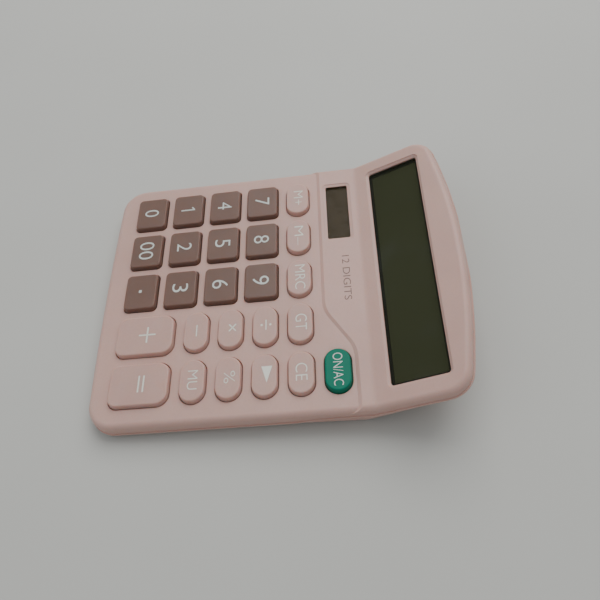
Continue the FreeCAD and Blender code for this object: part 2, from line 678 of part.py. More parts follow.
def battery_well_walls():
    """The well round the cell and the boss for the cover's screw."""
    x, y = CELL_PLACE
    outer = CELL_RADIUS + WELL_GAP + WELL_WALL
    floor = FOOT_PROUD + LOWER_WALL / 2
    ledge = (COVER_SIZE[0] + 2 * COVER_LEDGE, COVER_SIZE[1] + 2 * COVER_LEDGE)
    ledge_top = FOOT_PROUD + COVER_THICKNESS + LOWER_WALL
    return [plate((2 * outer, 2 * outer), (x, y), WELL_CORNER, floor, well_top()),
            pin(BOSS_RADIUS + COVER_BOSS_WALL, COVER_SCREW_X, y, floor, well_top() - COVER_BOSS_DROP),
            plate(ledge, (COVER_CENTRE_X, y), COVER_CORNER, floor, ledge_top)]


def battery_cuts():
    """The cover's seat, the cell's bore, its contact slots and the cover screw's hole."""
    x, y = CELL_PLACE
    seat_size = (COVER_SIZE[0] + 2 * FIT_GAP, COVER_SIZE[1] + 2 * FIT_GAP)
    seat = plate(seat_size, (COVER_CENTRE_X, y), COVER_CORNER, 0, FOOT_PROUD + COVER_THICKNESS)
    bore = pin(CELL_RADIUS + WELL_GAP, x, y, 0, well_top() - WELL_WALL)
    slot_width = CONTACT_WIDTH + 2 * FIT_GAP
    slot_low = cell_low() + CELL_HEIGHT + FIT_GAP / 2
    top_slot = Part.makeBox(2 * CELL_RADIUS, slot_width, well_top() - WELL_WALL - slot_low,
                            Vector(x, y - slot_width / 2, slot_low))
    side_slot = Part.makeBox(slot_width, 2 * CELL_RADIUS, CONTACT_SLOT,
                             Vector(x - slot_width / 2, y, cell_low() + CONTACT_RISE))
    hole_end = cover_seat() + BOARD_SCREW_SHANK + PILOT_SPARE
    hole = pin(BOARD_SCREW_PILOT / 2, COVER_SCREW_X, y, 0, hole_end)
    return [seat, bore, top_slot, side_slot, hole]


def cover_seat():
    """Under-head height of the cover's screw above the table."""
    return FOOT_PROUD + BOARD_SCREW_HEAD_HEIGHT


def battery_cover():
    """The flat cover, with a finger notch, a countersunk screw hole and a raised pad under the cell."""
    y, top = CELL_PLACE[1], FOOT_PROUD + COVER_THICKNESS
    cover = plate(COVER_SIZE, (COVER_CENTRE_X, y), COVER_CORNER - FIT_GAP, FOOT_PROUD, top)
    pad = pin(CELL_RADIUS - CELL_CAP_STEP, CELL_PLACE[0], y, top - WELD, cell_low())
    notch_x = COVER_CENTRE_X - COVER_SIZE[0] / 2 + NOTCH_INSET
    notch = plate(NOTCH_SIZE, (notch_x, y), NOTCH_CORNER, 0, top - COVER_THICKNESS / 2)
    cuts = [notch, pin(BOARD_SCREW_HEAD / 2 + FIT_GAP, COVER_SCREW_X, y, 0, cover_seat()),
            pin(BOARD_SCREW_CORE / 2 + FIT_GAP, COVER_SCREW_X, y, 0, cell_low())]
    return union(cover, [pad]).cut(cuts)


def contact_positive():
    """The strip that bears on the cell's side, with a tail for its wire."""
    x, y = CELL_PLACE
    low = cell_low() + CONTACT_RISE + FIT_GAP
    near = y + CELL_RADIUS + FIT_GAP / 2
    outer = y + CELL_RADIUS + WELL_GAP + WELL_WALL + FIT_GAP
    width, thickness = CONTACT_WIDTH, CONTACT_THICKNESS
    corner = Vector(x - width / 2, near, low)
    leaf = Part.makeBox(width, thickness, CONTACT_LEAF, corner)
    bridge = Part.makeBox(width, outer + thickness - near, thickness, corner)
    tail = Part.makeBox(width, thickness, CONTACT_TAIL, Vector(x - width / 2, outer, low))
    return union(leaf, [bridge, tail])


def contact_negative():
    """The strip that bears on the cell's top, with a tail for its wire."""
    x, y = CELL_PLACE
    low = cell_low() + CELL_HEIGHT + FIT_GAP / 2
    outer = x + CELL_RADIUS + WELL_GAP + WELL_WALL + FIT_GAP
    width, thickness = CONTACT_WIDTH, CONTACT_THICKNESS
    start = x - CONTACT_OVERLAP
    leaf = Part.makeBox(outer + thickness - start, width, thickness, Vector(start, y - width / 2, low))
    tail = Part.makeBox(thickness, width, CONTACT_DROP, Vector(outer, y - width / 2, low - CONTACT_DROP))
    return union(leaf, [tail])


# ---------------------------------------------------------------- feet

def foot_places():
    """Middle of each foot, in the table frame."""
    return [(side * FOOT_X, y) for side in (-1, 1) for y in (FOOT_FRONT_Y, FOOT_REAR_Y)]


def foot_pockets():
    """Shallow round seats for the feet."""
    return [pin(FOOT_RADIUS + FIT_GAP, x, y, 0, FOOT_PROUD + FOOT_POCKET) for x, y in foot_places()]


def rubber_feet():
    """Four round feet with a soft lower edge."""
    feet = []
    for x, y in foot_places():
        foot = pin(FOOT_RADIUS, x, y, 0, FOOT_PROUD + FOOT_POCKET)
        rim = [edge for edge in foot.Edges if all(abs(v.Z) < NEAR for v in edge.Vertexes)]
        feet.append(in_frame(foot.makeFillet(FOOT_PROUD / 2, rim), TABLE_FRAME))
    return Part.makeCompound(feet)


# ---------------------------------------------------------------- keypad sheet and boards

def board_outline(margin):
    """The main board's outline drawn in by margin, with its tongue under the ON key."""
    side = HALF_WIDTH - SIDE_WALL - FIT_GAP - TONGUE_WALL - BOARD_SIDE_GAP - margin
    front, rear = BOARD_FRONT_Y + margin, BOARD_REAR_Y - margin
    left, far = TONGUE_LEFT_X + margin, TONGUE_REAR_Y - margin
    points = [(-side, front), (side, front), (side, far), (left, far), (left, rear), (-side, rear)]
    return rounded_outline(points, [BOARD_CORNER] * 3 + [TONGUE_CORNER] * 2 + [BOARD_CORNER])


def boss_clearances(low, high):
    """Holes through the sheet or the board for the bosses and posts beside the keys."""
    return [pin(POST_RADIUS + POST_GAP, x, y, low, high) for x, y, _ in case_screw_places()]


def main_board():
    """The board under the keypad sheet, held up to the deck by its screws."""
    top = SHEET_TOP - SHEET_THICKNESS
    low = top - BOARD_THICKNESS
    board = prism(board_outline(0.0), low, top)
    low, top = low - PAST, top + PAST
    holes = [pin(BOARD_SCREW_CORE / 2 + FIT_GAP, x, y, low, top) for x, y in board_screw_places()]
    return board.cut(boss_clearances(low, top) + holes)


def keypad_sheet():
    """The silicone sheet with an open dome skirt under each key."""
    sheet = prism(board_outline(SHEET_MARGIN), SHEET_TOP - SHEET_THICKNESS, SHEET_TOP)
    skirts, bores = [], []
    for _, (x, y), _, _ in key_table():
        foot = Vector(x, y, SHEET_TOP - WELD)
        skirts.append(Part.makeCone(SKIRT_FOOT_RADIUS, SKIRT_TOP_RADIUS, SKIRT_HEIGHT + WELD, foot))
        bores.append(pin(SKIRT_BORE, x, y, SHEET_TOP - WELD, SHEET_TOP + SKIRT_HEIGHT + PAST))
    sheet = union(sheet, skirts).cut(bores)
    low, top = SHEET_TOP - SHEET_THICKNESS - PAST, SHEET_TOP + PAST
    around = [pin(BOARD_BOSS_RADIUS + FIT_GAP, x, y, low, top) for x, y in board_screw_places()]
    return sheet.cut(boss_clearances(low, top) + around)


def controller_chip():
    """The chip under its round cap of resin, on the board's underside."""
    top = SHEET_TOP - SHEET_THICKNESS - BOARD_THICKNESS
    x, y = CHIP_PLACE
    cap = pin(CHIP_RADIUS, x, y, top - CHIP_HEIGHT, top)
    rim = [edge for edge in cap.Edges if all(abs(v.Z - top + CHIP_HEIGHT) < NEAR for v in edge.Vertexes)]
    return cap.makeFillet(CHIP_HEIGHT * CHIP_ROUND, rim)


def screws(places, core, head, head_height, shank):
    """Identical screws, one at each (x, y, seat), pointing up."""
    return Part.makeCompound([screw(core, head, head_height, shank, x, y, seat) for x, y, seat in places])


# ---------------------------------------------------------------- display stack, in the display frame

def window_plate():
    """The clear plate glued under the display opening."""
    size, radii = shrink(LCD_WINDOW, LCD_WINDOW_CORNER, -WINDOW_OVERLAP)
    return plate(size, (0, LCD_WINDOW_W), radii, -TOP_WALL - WINDOW_THICKNESS, -TOP_WALL)


def lcd_top():
    """Front face of the LCD glass in the display frame."""
    return -TOP_WALL - WINDOW_THICKNESS - LCD_GAP


def lcd_panel():
    """The two glass plates of the LCD, the rear one shorter to bare the contact ledge."""
    ledge = CONNECTOR_WIDTH + LEDGE_SPARE
    top, middle, low = lcd_top(), lcd_top() - LCD_THICKNESS / 2, lcd_top() - LCD_THICKNESS
    front_plate = plate(LCD_GLASS, (0, LCD_WINDOW_W), SHARP, middle, top)
    rear_size = (LCD_GLASS[0], LCD_GLASS[1] - ledge)
    rear = plate(rear_size, (0, LCD_WINDOW_W + ledge / 2), SHARP, low, middle)
    return union(front_plate, [rear])


def lcd_frame_block(spare):
    """The block that the LCD's holder is cut from, grown by a clearance."""
    top = -TOP_WALL - WINDOW_THICKNESS
    size, radii = shrink(LCD_GLASS, FRAME_CORNER, -FIT_GAP - FRAME_WALL - spare)
    return plate(size, (0, LCD_WINDOW_W), radii, top - FRAME_DEPTH - spare, top + spare)


def lcd_frame():
    """The holder round the LCD, pressed against the window plate."""
    size, radii = shrink(LCD_GLASS, FRAME_CORNER, -FIT_GAP)
    return lcd_frame_block(0.0).cut(plate(size, (0, LCD_WINDOW_W), radii, -REACH / 8, REACH / 8))


def connector_w():
    """Middle of the rubber connector, up the display."""
    return LCD_WINDOW_W - LCD_GLASS[1] / 2 + CONNECTOR_WIDTH / 2 + FIT_GAP


def rubber_connector():
    """The conductive rubber strip between the LCD's ledge and the display board."""
    top = lcd_top() - LCD_THICKNESS / 2
    size = (LCD_GLASS[0] - 2 * CONNECTOR_END_GAP, CONNECTOR_WIDTH)
    return plate(size, (0, connector_w()), CONNECTOR_CORNER, top - CONNECTOR_HEIGHT, top)


def display_board():
    """The narrow board behind the LCD's lower edge."""
    top = lcd_top() - LCD_THICKNESS / 2 - CONNECTOR_HEIGHT
    centre_w = connector_w() + DISPLAY_BOARD[1] / 2 - CONNECTOR_WIDTH
    return plate(DISPLAY_BOARD, (0, centre_w), DISPLAY_BOARD_CORNER, top - BOARD_THICKNESS, top)


def ribbon_cable():
    """The flat cable from under the main board's rear edge to the display board."""
    board_low = SHEET_TOP - SHEET_THICKNESS - BOARD_THICKNESS
    display_low = lcd_top() - LCD_THICKNESS / 2 - CONNECTOR_HEIGHT - BOARD_THICKNESS
    start = (BOARD_REAR_Y - RIBBON_START, board_low)
    knee = (BOARD_REAR_Y + RIBBON_LEVEL, board_low)
    near, far = (display_point(connector_w() + run, display_low) for run in RIBBON_JOIN)
    top_line = [start, knee, near, far]
    low_line = [(y, z - RIBBON_THICKNESS) for y, z in top_line]
    band = side_band(top_line + list(reversed(low_line)))
    left = CELL_PLACE[0] - CELL_RADIUS - WELL_GAP - WELL_WALL - RIBBON_GAP - RIBBON_WIDTH
    return band.common(Part.makeBox(RIBBON_WIDTH, REACH, REACH, Vector(left, 0, -REACH / 2)))


# ---------------------------------------------------------------- solar cell

def solar_window():
    """The clear plate over the solar cell."""
    size, radii = shrink(SOLAR_WINDOW, SOLAR_CORNER, -WINDOW_OVERLAP)
    top = BAND_RISE - SOLAR_SKIN
    return plate(size, SOLAR_PLACE, radii, top - SOLAR_PLATE_THICKNESS, top)


def solar_cell():
    """The glass-backed solar cell glued under its window."""
    size = (SOLAR_WINDOW[0] + 2 * SOLAR_CELL_MARGIN, SOLAR_WINDOW[1] + 2 * SOLAR_CELL_MARGIN)
    top = BAND_RISE - SOLAR_SKIN - SOLAR_PLATE_THICKNESS
    return plate(size, SOLAR_PLACE, SOLAR_CELL_CORNER, top - SOLAR_CELL_THICKNESS, top)


def solar_leads():
    """Two stiff leads that hang from the cell's rear."""
    low = BAND_RISE - SOLAR_SKIN - SOLAR_PLATE_THICKNESS - SOLAR_CELL_THICKNESS
    leads = []
    for offset in (-SOLAR_WINDOW[0] / 3, SOLAR_WINDOW[0] / 3):
        x, y = SOLAR_PLACE[0] + offset, SOLAR_PLACE[1]
        leads.append(pin(LEAD_RADIUS, x, y, low - LEAD_LENGTH, low))
    return Part.makeCompound(leads)


# ---------------------------------------------------------------- everything, set down level

def all_pieces():
    """Every node's shape in the deck's frame."""
    pieces = {"upper_housing": upper_housing(), "lower_housing": lower_housing()}
    for name, place, hole, radii in key_table():
        pieces["key_" + name] = key(place, hole, radii)
    case_size = (SCREW_CORE, SCREW_HEAD, SCREW_HEAD_HEIGHT, SCREW_SHANK)
    board_size = (BOARD_SCREW_CORE, BOARD_SCREW_HEAD, BOARD_SCREW_HEAD_HEIGHT, BOARD_SCREW_SHANK)
    board_seat = SHEET_TOP - SHEET_THICKNESS - BOARD_THICKNESS
    pieces["case_screws"] = screws(case_screw_places(), *case_size)
    pieces["board_screws"] = screws([(x, y, board_seat) for x, y in board_screw_places()], *board_size)
    pieces["keypad_sheet"] = keypad_sheet()
    pieces["main_board"] = main_board()
    pieces["controller_chip"] = controller_chip()
    pieces["ribbon_cable"] = ribbon_cable()
    pieces["solar_window"] = solar_window()
    pieces["solar_cell"] = solar_cell()
    pieces["solar_leads"] = solar_leads()
    pieces["rubber_feet"] = rubber_feet()
    display = {"display_window": window_plate(), "lcd_panel": lcd_panel(), "lcd_frame": lcd_frame(),
               "rubber_connector": rubber_connector(), "display_board": display_board()}
    cover_screw = screw(*board_size, COVER_SCREW_X, CELL_PLACE[1], cover_seat())
    table = {"battery_cover": battery_cover(), "battery_cover_screw": cover_screw,
             "button_cell": button_cell(), "contact_positive": contact_positive(),
             "contact_negative": contact_negative()}
    pieces.update({name: in_frame(shape, DISPLAY_FRAME) for name, shape in display.items()})
    pieces.update({name: in_frame(shape, TABLE_FRAME) for name, shape in table.items()})
    return pieces


def button_cell():
    """The button cell, its can wider than its lower cap."""
    x, y = CELL_PLACE
    low, shoulder = cell_low(), cell_low() + CELL_CAP_HEIGHT
    can = pin(CELL_RADIUS, x, y, shoulder, low + CELL_HEIGHT)
    return union(can, [pin(CELL_RADIUS - CELL_CAP_STEP, x, y, low, shoulder)])


def place_on_table(pieces):
    """Turn the pieces level, feet on Z = 0, with the whole object's box centred over the origin."""
    level = {name: in_frame(shape, TABLE_FRAME.inverse()) for name, shape in pieces.items()}
    box = FreeCAD.BoundBox()
    for shape in level.values():
        box.add(shape.optimalBoundingBox(False, False))
    shift = Placement(Vector(-(box.XMin + box.XMax) / 2, -(box.YMin + box.YMax) / 2, -box.ZMin), Rotation())
    print("shift", tuple(round(value, 4) for value in shift.Base))
    print("size", round(box.XLength, 3), round(box.YLength, 3), round(box.ZLength, 3))
    return {name: in_frame(shape, shift) for name, shape in level.items()}


def main():
    """Build, check and write every node."""
    os.makedirs("parts", exist_ok=True)
    for name, shape in place_on_table(all_pieces()).items():
        if not shape.isValid() or not shape.Solids:
            raise ValueError(name + " is not a valid solid")
        print(name, "solids", len(shape.Solids), "volume", round(shape.Volume, 2))
        solid = shape.Solids[0] if len(shape.Solids) == 1 else Part.makeCompound(shape.Solids)
        solid.exportStep("parts/" + name + ".step")


main()
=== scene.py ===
"""A twelve-digit desk calculator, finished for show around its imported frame.

Every place and size that the frame knows is read from the frame. Lengths are in metres, with MM to
write them in millimetres. The key deck and the display each have their own sloping axes, in which
their pieces are modelled before they are laid down.
"""

import json
import logging
import math
from contextlib import contextmanager
from dataclasses import dataclass
from enum import Enum
from functools import cache
from typing import Any, Callable, Iterator, Sequence

import bmesh
import bpy
from mathutils import Matrix, Vector

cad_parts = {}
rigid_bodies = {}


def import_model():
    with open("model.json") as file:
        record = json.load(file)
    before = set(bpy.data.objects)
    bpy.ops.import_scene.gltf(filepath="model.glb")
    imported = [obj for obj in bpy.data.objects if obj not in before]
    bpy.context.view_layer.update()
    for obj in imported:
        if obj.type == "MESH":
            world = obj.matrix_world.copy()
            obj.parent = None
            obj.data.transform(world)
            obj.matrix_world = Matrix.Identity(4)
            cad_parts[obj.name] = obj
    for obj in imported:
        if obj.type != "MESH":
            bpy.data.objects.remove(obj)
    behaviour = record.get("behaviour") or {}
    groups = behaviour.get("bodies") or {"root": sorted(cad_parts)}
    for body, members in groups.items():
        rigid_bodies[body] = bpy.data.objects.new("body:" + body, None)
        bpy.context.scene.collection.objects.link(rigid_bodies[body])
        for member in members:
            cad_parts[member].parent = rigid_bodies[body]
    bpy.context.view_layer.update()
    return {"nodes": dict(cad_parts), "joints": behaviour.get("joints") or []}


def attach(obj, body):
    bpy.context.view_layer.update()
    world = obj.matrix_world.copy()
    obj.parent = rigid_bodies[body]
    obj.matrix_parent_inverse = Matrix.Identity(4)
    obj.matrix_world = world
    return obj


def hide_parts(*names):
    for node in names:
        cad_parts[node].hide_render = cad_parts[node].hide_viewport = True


MM = 0.001
WAVES_PER_METRE = 3.2            # of the wave texture at a scale of 1
LEVEL = 0.01 * MM                # two heights closer than this are the same
EDGE_SHARE = 0.99                # a corner further out than this share of the half size is on the edge
DISPLAY_LEAN = 22.0              # display above the deck, in degrees
log = logging.getLogger("calculator")

Colour = tuple[float, float, float]


def span(points: Sequence[Vector]) -> tuple[Vector, Vector]:
    """The lowest and highest corners of the level box round some points."""
    low = Vector(min(point[axis] for point in points) for axis in range(3))
    high = Vector(max(point[axis] for point in points) for axis in range(3))
    return low, high


# ---------------------------------------------------------------- axes of the sloping surfaces

@dataclass(frozen=True)
class Slope:
    """Axes turned about X, so that Z stands square to a sloping surface."""

    degrees: float

    @property
    def turn(self) -> Matrix:
        """The rotation from these axes to the level frame."""
        return Matrix.Rotation(math.radians(self.degrees), 4, "X")

    @cache
    def extent(self, node: str) -> tuple[Vector, Vector]:
        """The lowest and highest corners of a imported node, measured along these axes.

        Args:
            node: The name of a node in the frame.

        Returns:
            The two corners.
        """
        back = self.turn.inverted()
        return span([back @ vertex.co for vertex in frame["nodes"][node].data.vertices])


# ---------------------------------------------------------------- modelling bench

class Part(Enum):
    """What an editing step picks and works on."""

    CORNERS = "VERT"
    EDGES = "EDGE"
    FACES = "FACE"


class Work:
    """One piece on the bench, shaped with the editing operators."""

    def __init__(self, name: str) -> None:
        """Takes the active object and names it."""
        self.piece = bpy.context.active_object
        self.piece.name = self.piece.data.name = name

    @staticmethod
    def clear() -> None:
        """Deselects everything."""
        bpy.ops.object.select_all(action="DESELECT")

    @classmethod
    def sheet(cls, name: str, low: Vector, high: Vector) -> "Work":
        """A flat rectangle between two corners, at the height of the lower one.

        Args:
            name: The name of the piece.
            low: The corner with the smallest X and Y, which sets the height.
            high: The corner with the largest X and Y.

        Returns:
            The new piece on the bench.
        """
        cls.clear()
        middle = (low + high) / 2
        bpy.ops.mesh.primitive_plane_add(size=1, location=(middle.x, middle.y, low.z))
        work = cls(name)
        work.piece.scale = (high.x - low.x, high.y - low.y, 1)
        work.settle(Matrix.Identity(4))
        return work

    @classmethod
    def lettering(cls, name: str, text: str, size: tuple[float, float], weight: float) -> "Work":
        """Flat letters that fill a rectangle about the origin.

        Args:
            name: The name of the piece.
            text: The letters.
            size: The rectangle's width and height.
            weight: How much bolder the strokes are, as a share of the height.

        Returns:
            The letters on the bench.
        """
        cls.clear()
        bpy.ops.object.text_add()
        letters = bpy.context.active_object.data
        letters.body, letters.offset, letters.resolution_u = text, weight, 6
        bpy.ops.object.convert(target="MESH")
        work = cls(name)
        low, high = work.box()
        middle = (low + high) / 2
        scale = Matrix.Diagonal((size[0] / (high.x - low.x), size[1] / (high.y - low.y), 1, 1))
        work.settle(scale @ Matrix.Translation(-middle))
        return work

    @classmethod
    def stroke(cls, size: tuple[float, float], place: tuple[float, float], degrees: float) -> "Work":
        """A straight printed stroke with round ends.

        Args:
            size: Its length and width.
            place: Its middle.
            degrees: How far it is turned from level.

        Returns:
            The stroke on the bench.
        """
        half = Vector((size[0] / 2, size[1] / 2, 0))
        work = cls.sheet("stroke", -half, half)
        work.round_corners(size[1] * 0.3, 3, lambda corner: True)
        turn = Matrix.Rotation(math.radians(degrees), 4, "Z")
        work.settle(Matrix.Translation((*place, 0)) @ turn)
        return work

    def box(self) -> tuple[Vector, Vector]:
        """The lowest and highest corners of the piece's mesh."""
        return span([vertex.co for vertex in self.piece.data.vertices])

    def duplicate(self, name: str) -> "Work":
        """A copy of the piece with its own mesh."""
        copy = bpy.data.objects.new(name, self.piece.data.copy())
        bpy.context.scene.collection.objects.link(copy)
        self.clear()
        copy.select_set(True)
        bpy.context.view_layer.objects.active = copy
        return Work(name)

    def discard(self) -> None:
        """Takes the piece off the bench."""
        bpy.data.objects.remove(self.piece)

    @classmethod
    def copy_of(cls, node: str, name: str) -> "Work":
        """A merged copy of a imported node, with its flat stretches made whole faces.

        Args:
            node: The node to copy.
            name: The name of the new piece.

        Returns:
            The copy on the bench.
        """
        source = frame["nodes"][node]
        copy = bpy.data.objects.new(name, source.data.copy())
        bpy.context.scene.collection.objects.link(copy)
        cls.clear()
        copy.select_set(True)
        bpy.context.view_layer.objects.active = copy
        bpy.ops.mesh.customdata_custom_splitnormals_clear()
        work = cls(name)
        with work.editing():
            bpy.ops.mesh.select_all(action="SELECT")
            bpy.ops.mesh.remove_doubles(threshold=1e-6)
            bpy.ops.mesh.dissolve_limited(angle_limit=math.radians(0.3))
        return work

    @contextmanager
    def editing(self) -> Iterator[None]:
        """Holds the piece in edit mode."""
        self.clear()
        self.piece.select_set(True)
        bpy.context.view_layer.objects.active = self.piece
        bpy.ops.object.mode_set(mode="EDIT")
        yield
        bpy.ops.object.mode_set(mode="OBJECT")

    def pick(self, part: Part, test: Callable[[Any], bool]) -> int:
        """Selects the corners, edges or faces that pass a test, in edit mode.

        Args:
            part: What to pick.
            test: True for an element that is wanted.

        Returns:
            How many were picked.
        """
        bpy.ops.mesh.select_mode(type=part.value)
        bpy.ops.mesh.select_all(action="DESELECT")
        mesh = bmesh.from_edit_mesh(self.piece.data)
        mesh.normal_update()
        groups = {Part.CORNERS: mesh.verts, Part.EDGES: mesh.edges, Part.FACES: mesh.faces}
        chosen = [element for element in groups[part] if test(element)]
        for element in chosen:
            element.select_set(True)
        mesh.select_flush_mode()
        bmesh.update_edit_mesh(self.piece.data)
        return len(chosen)

    def round_corners(self, radius: float, segments: int, test: Callable[[Any], bool]) -> None:
        """Rounds picked corners of a flat outline."""
        with self.editing():
            self.pick(Part.CORNERS, test)
            bpy.ops.mesh.bevel(offset=radius, segments=segments, affect="VERTICES")
            bpy.ops.mesh.select_all(action="SELECT")
            bpy.ops.mesh.remove_doubles(threshold=5e-6)

    def soften(self, width: float, segments: int, test: Callable[[Any], bool], profile: float = 0.5) -> None:
        """Rounds picked edges.

        Args:
            width: How far the round reaches from the edge.
            segments: Faces across the round.
            test: True for an edge that is rounded.
            profile: 0.5 is a round, and more is squarer.
        """
        with self.editing():
            if self.pick(Part.EDGES, test):
                bpy.ops.mesh.bevel(offset=width, segments=segments, profile=profile, clamp_overlap=False)

    def rise(self, height: float, shrink: tuple[float, float], test: Callable[[Any], bool]) -> None:
        """Extrudes picked faces straight up, and draws them in.

        Args:
            height: How far up they go.
            shrink: How much narrower each side becomes, along X and Y.
            test: True for a face that is raised.
        """
        with self.editing():
            self.pick(Part.FACES, test)
            bpy.ops.mesh.extrude_region_move(TRANSFORM_OT_translate={"value": (0, 0, height)})
            self.draw_in(shrink)

    def draw_in(self, shrink: tuple[float, float]) -> None:
        """Narrows what is selected by so much each side, about its own middle, in edit mode."""
        if not any(shrink):
            return
        mesh = bmesh.from_edit_mesh(self.piece.data)
        low, high = span([vertex.co for vertex in mesh.verts if vertex.select])
        size = high - low
        factors = (1 - 2 * shrink[0] / size.x, 1 - 2 * shrink[1] / size.y, 1)
        bpy.ops.transform.resize(value=factors, center_override=(low + high) / 2)

    def inset(self, width: float, test: Callable[[Any], bool], depth: float = 0.0) -> None:
        """Insets picked faces, and sinks them by a depth."""
        with self.editing():
            self.pick(Part.FACES, test)
            bpy.ops.mesh.inset(thickness=width, depth=-depth)

    def modify(self, kind: str, **settings: Any) -> None:
        """Adds a modifier with its settings and applies it."""
        modifier = self.piece.modifiers.new(kind.title(), kind)
        for name, value in settings.items():
            setattr(modifier, name, value)
        bpy.context.view_layer.objects.active = self.piece
        bpy.ops.object.modifier_apply(modifier=modifier.name)

    def join(self, other: "Work") -> None:
        """Joins another piece to this one."""
        self.clear()
        other.piece.select_set(True)
        self.piece.select_set(True)
        bpy.context.view_layer.objects.active = self.piece
        bpy.ops.object.join()

    def settle(self, turn: Matrix) -> None:
        """Turns the piece and applies its place, so that its object sits at the origin."""
        self.clear()
        self.piece.select_set(True)
        bpy.context.view_layer.objects.active = self.piece
        self.piece.matrix_world = turn @ self.piece.matrix_world
        bpy.ops.object.transform_apply(location=True, rotation=True, scale=True)

    def close(self, degrees: float = 40.0) -> None:
        """Merges doubles, turns the faces outwards and smooths what bends less than an angle."""
        with self.editing():
            bpy.ops.mesh.select_all(action="SELECT")
            bpy.ops.mesh.remove_doubles(threshold=1e-7)
            bpy.ops.mesh.normals_make_consistent(inside=False)
        self.smooth(degrees)

    def smooth(self, degrees: float) -> None:
        """Smooths what bends less than an angle, and lets the broad faces set the shading."""
        self.clear()
        self.piece.select_set(True)
        bpy.context.view_layer.objects.active = self.piece
        bpy.ops.object.shade_smooth_by_angle(angle=math.radians(degrees))
        self.modify("WEIGHTED_NORMAL", keep_sharp=True)

    def dress(self, finish: "Finish") -> None:
        """Gives the whole piece one finish."""
        self.piece.data.materials.clear()
        self.piece.data.materials.append(finish.material())


# ---------------------------------------------------------------- shader maths

class Value:
    """A number on a shader socket. Arithmetic on it adds Math nodes."""

    def __init__(self, graph: "Graph", socket: bpy.types.NodeSocket) -> None:
        """Keeps the graph and the socket."""
        self.graph = graph
        self.socket = socket

    def math(self, operation: str, *others: "Value | float") -> "Value":
        """Adds one Math node over this value and others."""
        inputs = dict(enumerate((self, *others)))
        node = self.graph.node("ShaderNodeMath", {"operation": operation}, inputs)
        return Value(self.graph, node.outputs[0])

    def __add__(self, other: "Value | float") -> "Value":
        """This plus other."""
        return self.math("ADD", other)

    __radd__ = __add__

    def __mul__(self, other: "Value | float") -> "Value":
        """This times other."""
        return self.math("MULTIPLY", other)

    __rmul__ = __mul__

    def __rsub__(self, other: float) -> "Value":
        """Other less this."""
        return self * -1.0 + other

    def ramp(self, start: float, end: float, low: float = 0.0, high: float = 1.0) -> "Value":
        """Goes smoothly from low to high as the value goes from start to end."""
        settings = {"interpolation_type": "SMOOTHSTEP"}
        inputs = {0: self, 1: start, 2: end, 3: low, 4: high}
        return Value(self.graph, self.graph.node("ShaderNodeMapRange", settings, inputs).outputs[0])


class Graph:
    """One material's nodes, built round its main shader."""

    def __init__(self, name: str) -> None:
        """Makes an empty material with a main shader."""
        self.made = bpy.data.materials.new(name)
        self.made.use_nodes = True
        self.tree = self.made.node_tree
        self.shader = next(node for node in self.tree.nodes if node.type == "BSDF_PRINCIPLED")

    def node(self, kind: str, settings: dict[str, Any], inputs: dict[int | str, Any]) -> bpy.types.Node:
        """Adds one node.

        Args:
            kind: The node's type.
            settings: Its own settings, which are set first.
            inputs: The value or link of each socket, by place or name.

        Returns:
            The node.
        """
        node = self.tree.nodes.new(kind)
        for name, value in settings.items():
            setattr(node, name, value)
        for key, value in inputs.items():
            self.feed(node.inputs[key], value)
        return node

    def feed(self, socket: bpy.types.NodeSocket, value: Any) -> None:
        """Links or sets one socket."""
        if isinstance(value, Value):
            value = value.socket
        if isinstance(value, bpy.types.NodeSocket):
            self.tree.links.new(value, socket)
        elif isinstance(value, tuple) and len(value) == 3 and socket.type == "RGBA":
            socket.default_value = (*value, 1.0)
        else:
            socket.default_value = value

    def set(self, **inputs: Any) -> None:
        """Feeds the main shader's sockets, named with underscores for spaces."""
        for name, value in inputs.items():
            self.feed(self.shader.inputs[name.replace("_", " ")], value)

    def place(self, stretch: Sequence[float] = (1, 1, 1)) -> bpy.types.NodeSocket:
        """The point on the piece, stretched along each axis."""
        coordinates = self.node("ShaderNodeTexCoord", {}, {}).outputs["Object"]
        return self.node("ShaderNodeMapping", {}, {"Vector": coordinates, "Scale": tuple(stretch)}).outputs[0]

    def noise(self, size: float, detail: float = 2.0, stretch: Sequence[float] = (1, 1, 1)) -> Value:
        """Cloudy noise between 0 and 1, with features of about a given size."""
        inputs = {"Vector": self.place(stretch), "Scale": 1 / size, "Detail": detail}
        return Value(self, self.node("ShaderNodeTexNoise", {}, inputs).outputs[0])

    def specks(self, spacing: float, size: float) -> Value:
        """Round specks: 1 inside a speck and 0 between, spaced and sized in metres."""
        inputs = {"Vector": self.place(), "Scale": 1 / spacing, "Randomness": 1.0}
        distance = Value(self, self.node("ShaderNodeTexVoronoi", {}, inputs).outputs["Distance"])
        return distance.ramp(size / spacing, 0.4 * size / spacing)

    def mix(self, factor: Value, first: Any, second: Any) -> bpy.types.NodeSocket:
        """One colour turning into another as the factor goes from 0 to 1."""
        settings = {"data_type": "RGBA", "blend_type": "MIX"}
        return self.node("ShaderNodeMix", settings, {0: factor, 6: first, 7: second}).outputs[2]

    def bump(self, height: Value, depth: float) -> bpy.types.NodeSocket:
        """The surface normal over a height that runs from 0 to 1."""
        inputs = {"Height": height, "Distance": depth, "Strength": 1.0}
        return self.node("ShaderNodeBump", {}, inputs).outputs[0]


# ---------------------------------------------------------------- finishes

def shade(colour: Colour, factor: float) -> Colour:
    """A colour made lighter or darker by a factor."""
    return tuple(min(1.0, channel * factor) for channel in colour)


class Finish:
    """A surface finish whose material is made once."""

    name: str
    made: dict[str, bpy.types.Material] = {}

    def material(self) -> bpy.types.Material:
        """The material, made on first use."""
        if self.name not in Finish.made:
            graph = Graph(self.name)
            self.build(graph)
            Finish.made[self.name] = graph.made
        return Finish.made[self.name]

    def build(self, graph: Graph) -> None:
        """Adds this finish's nodes to a graph."""
        raise NotImplementedError


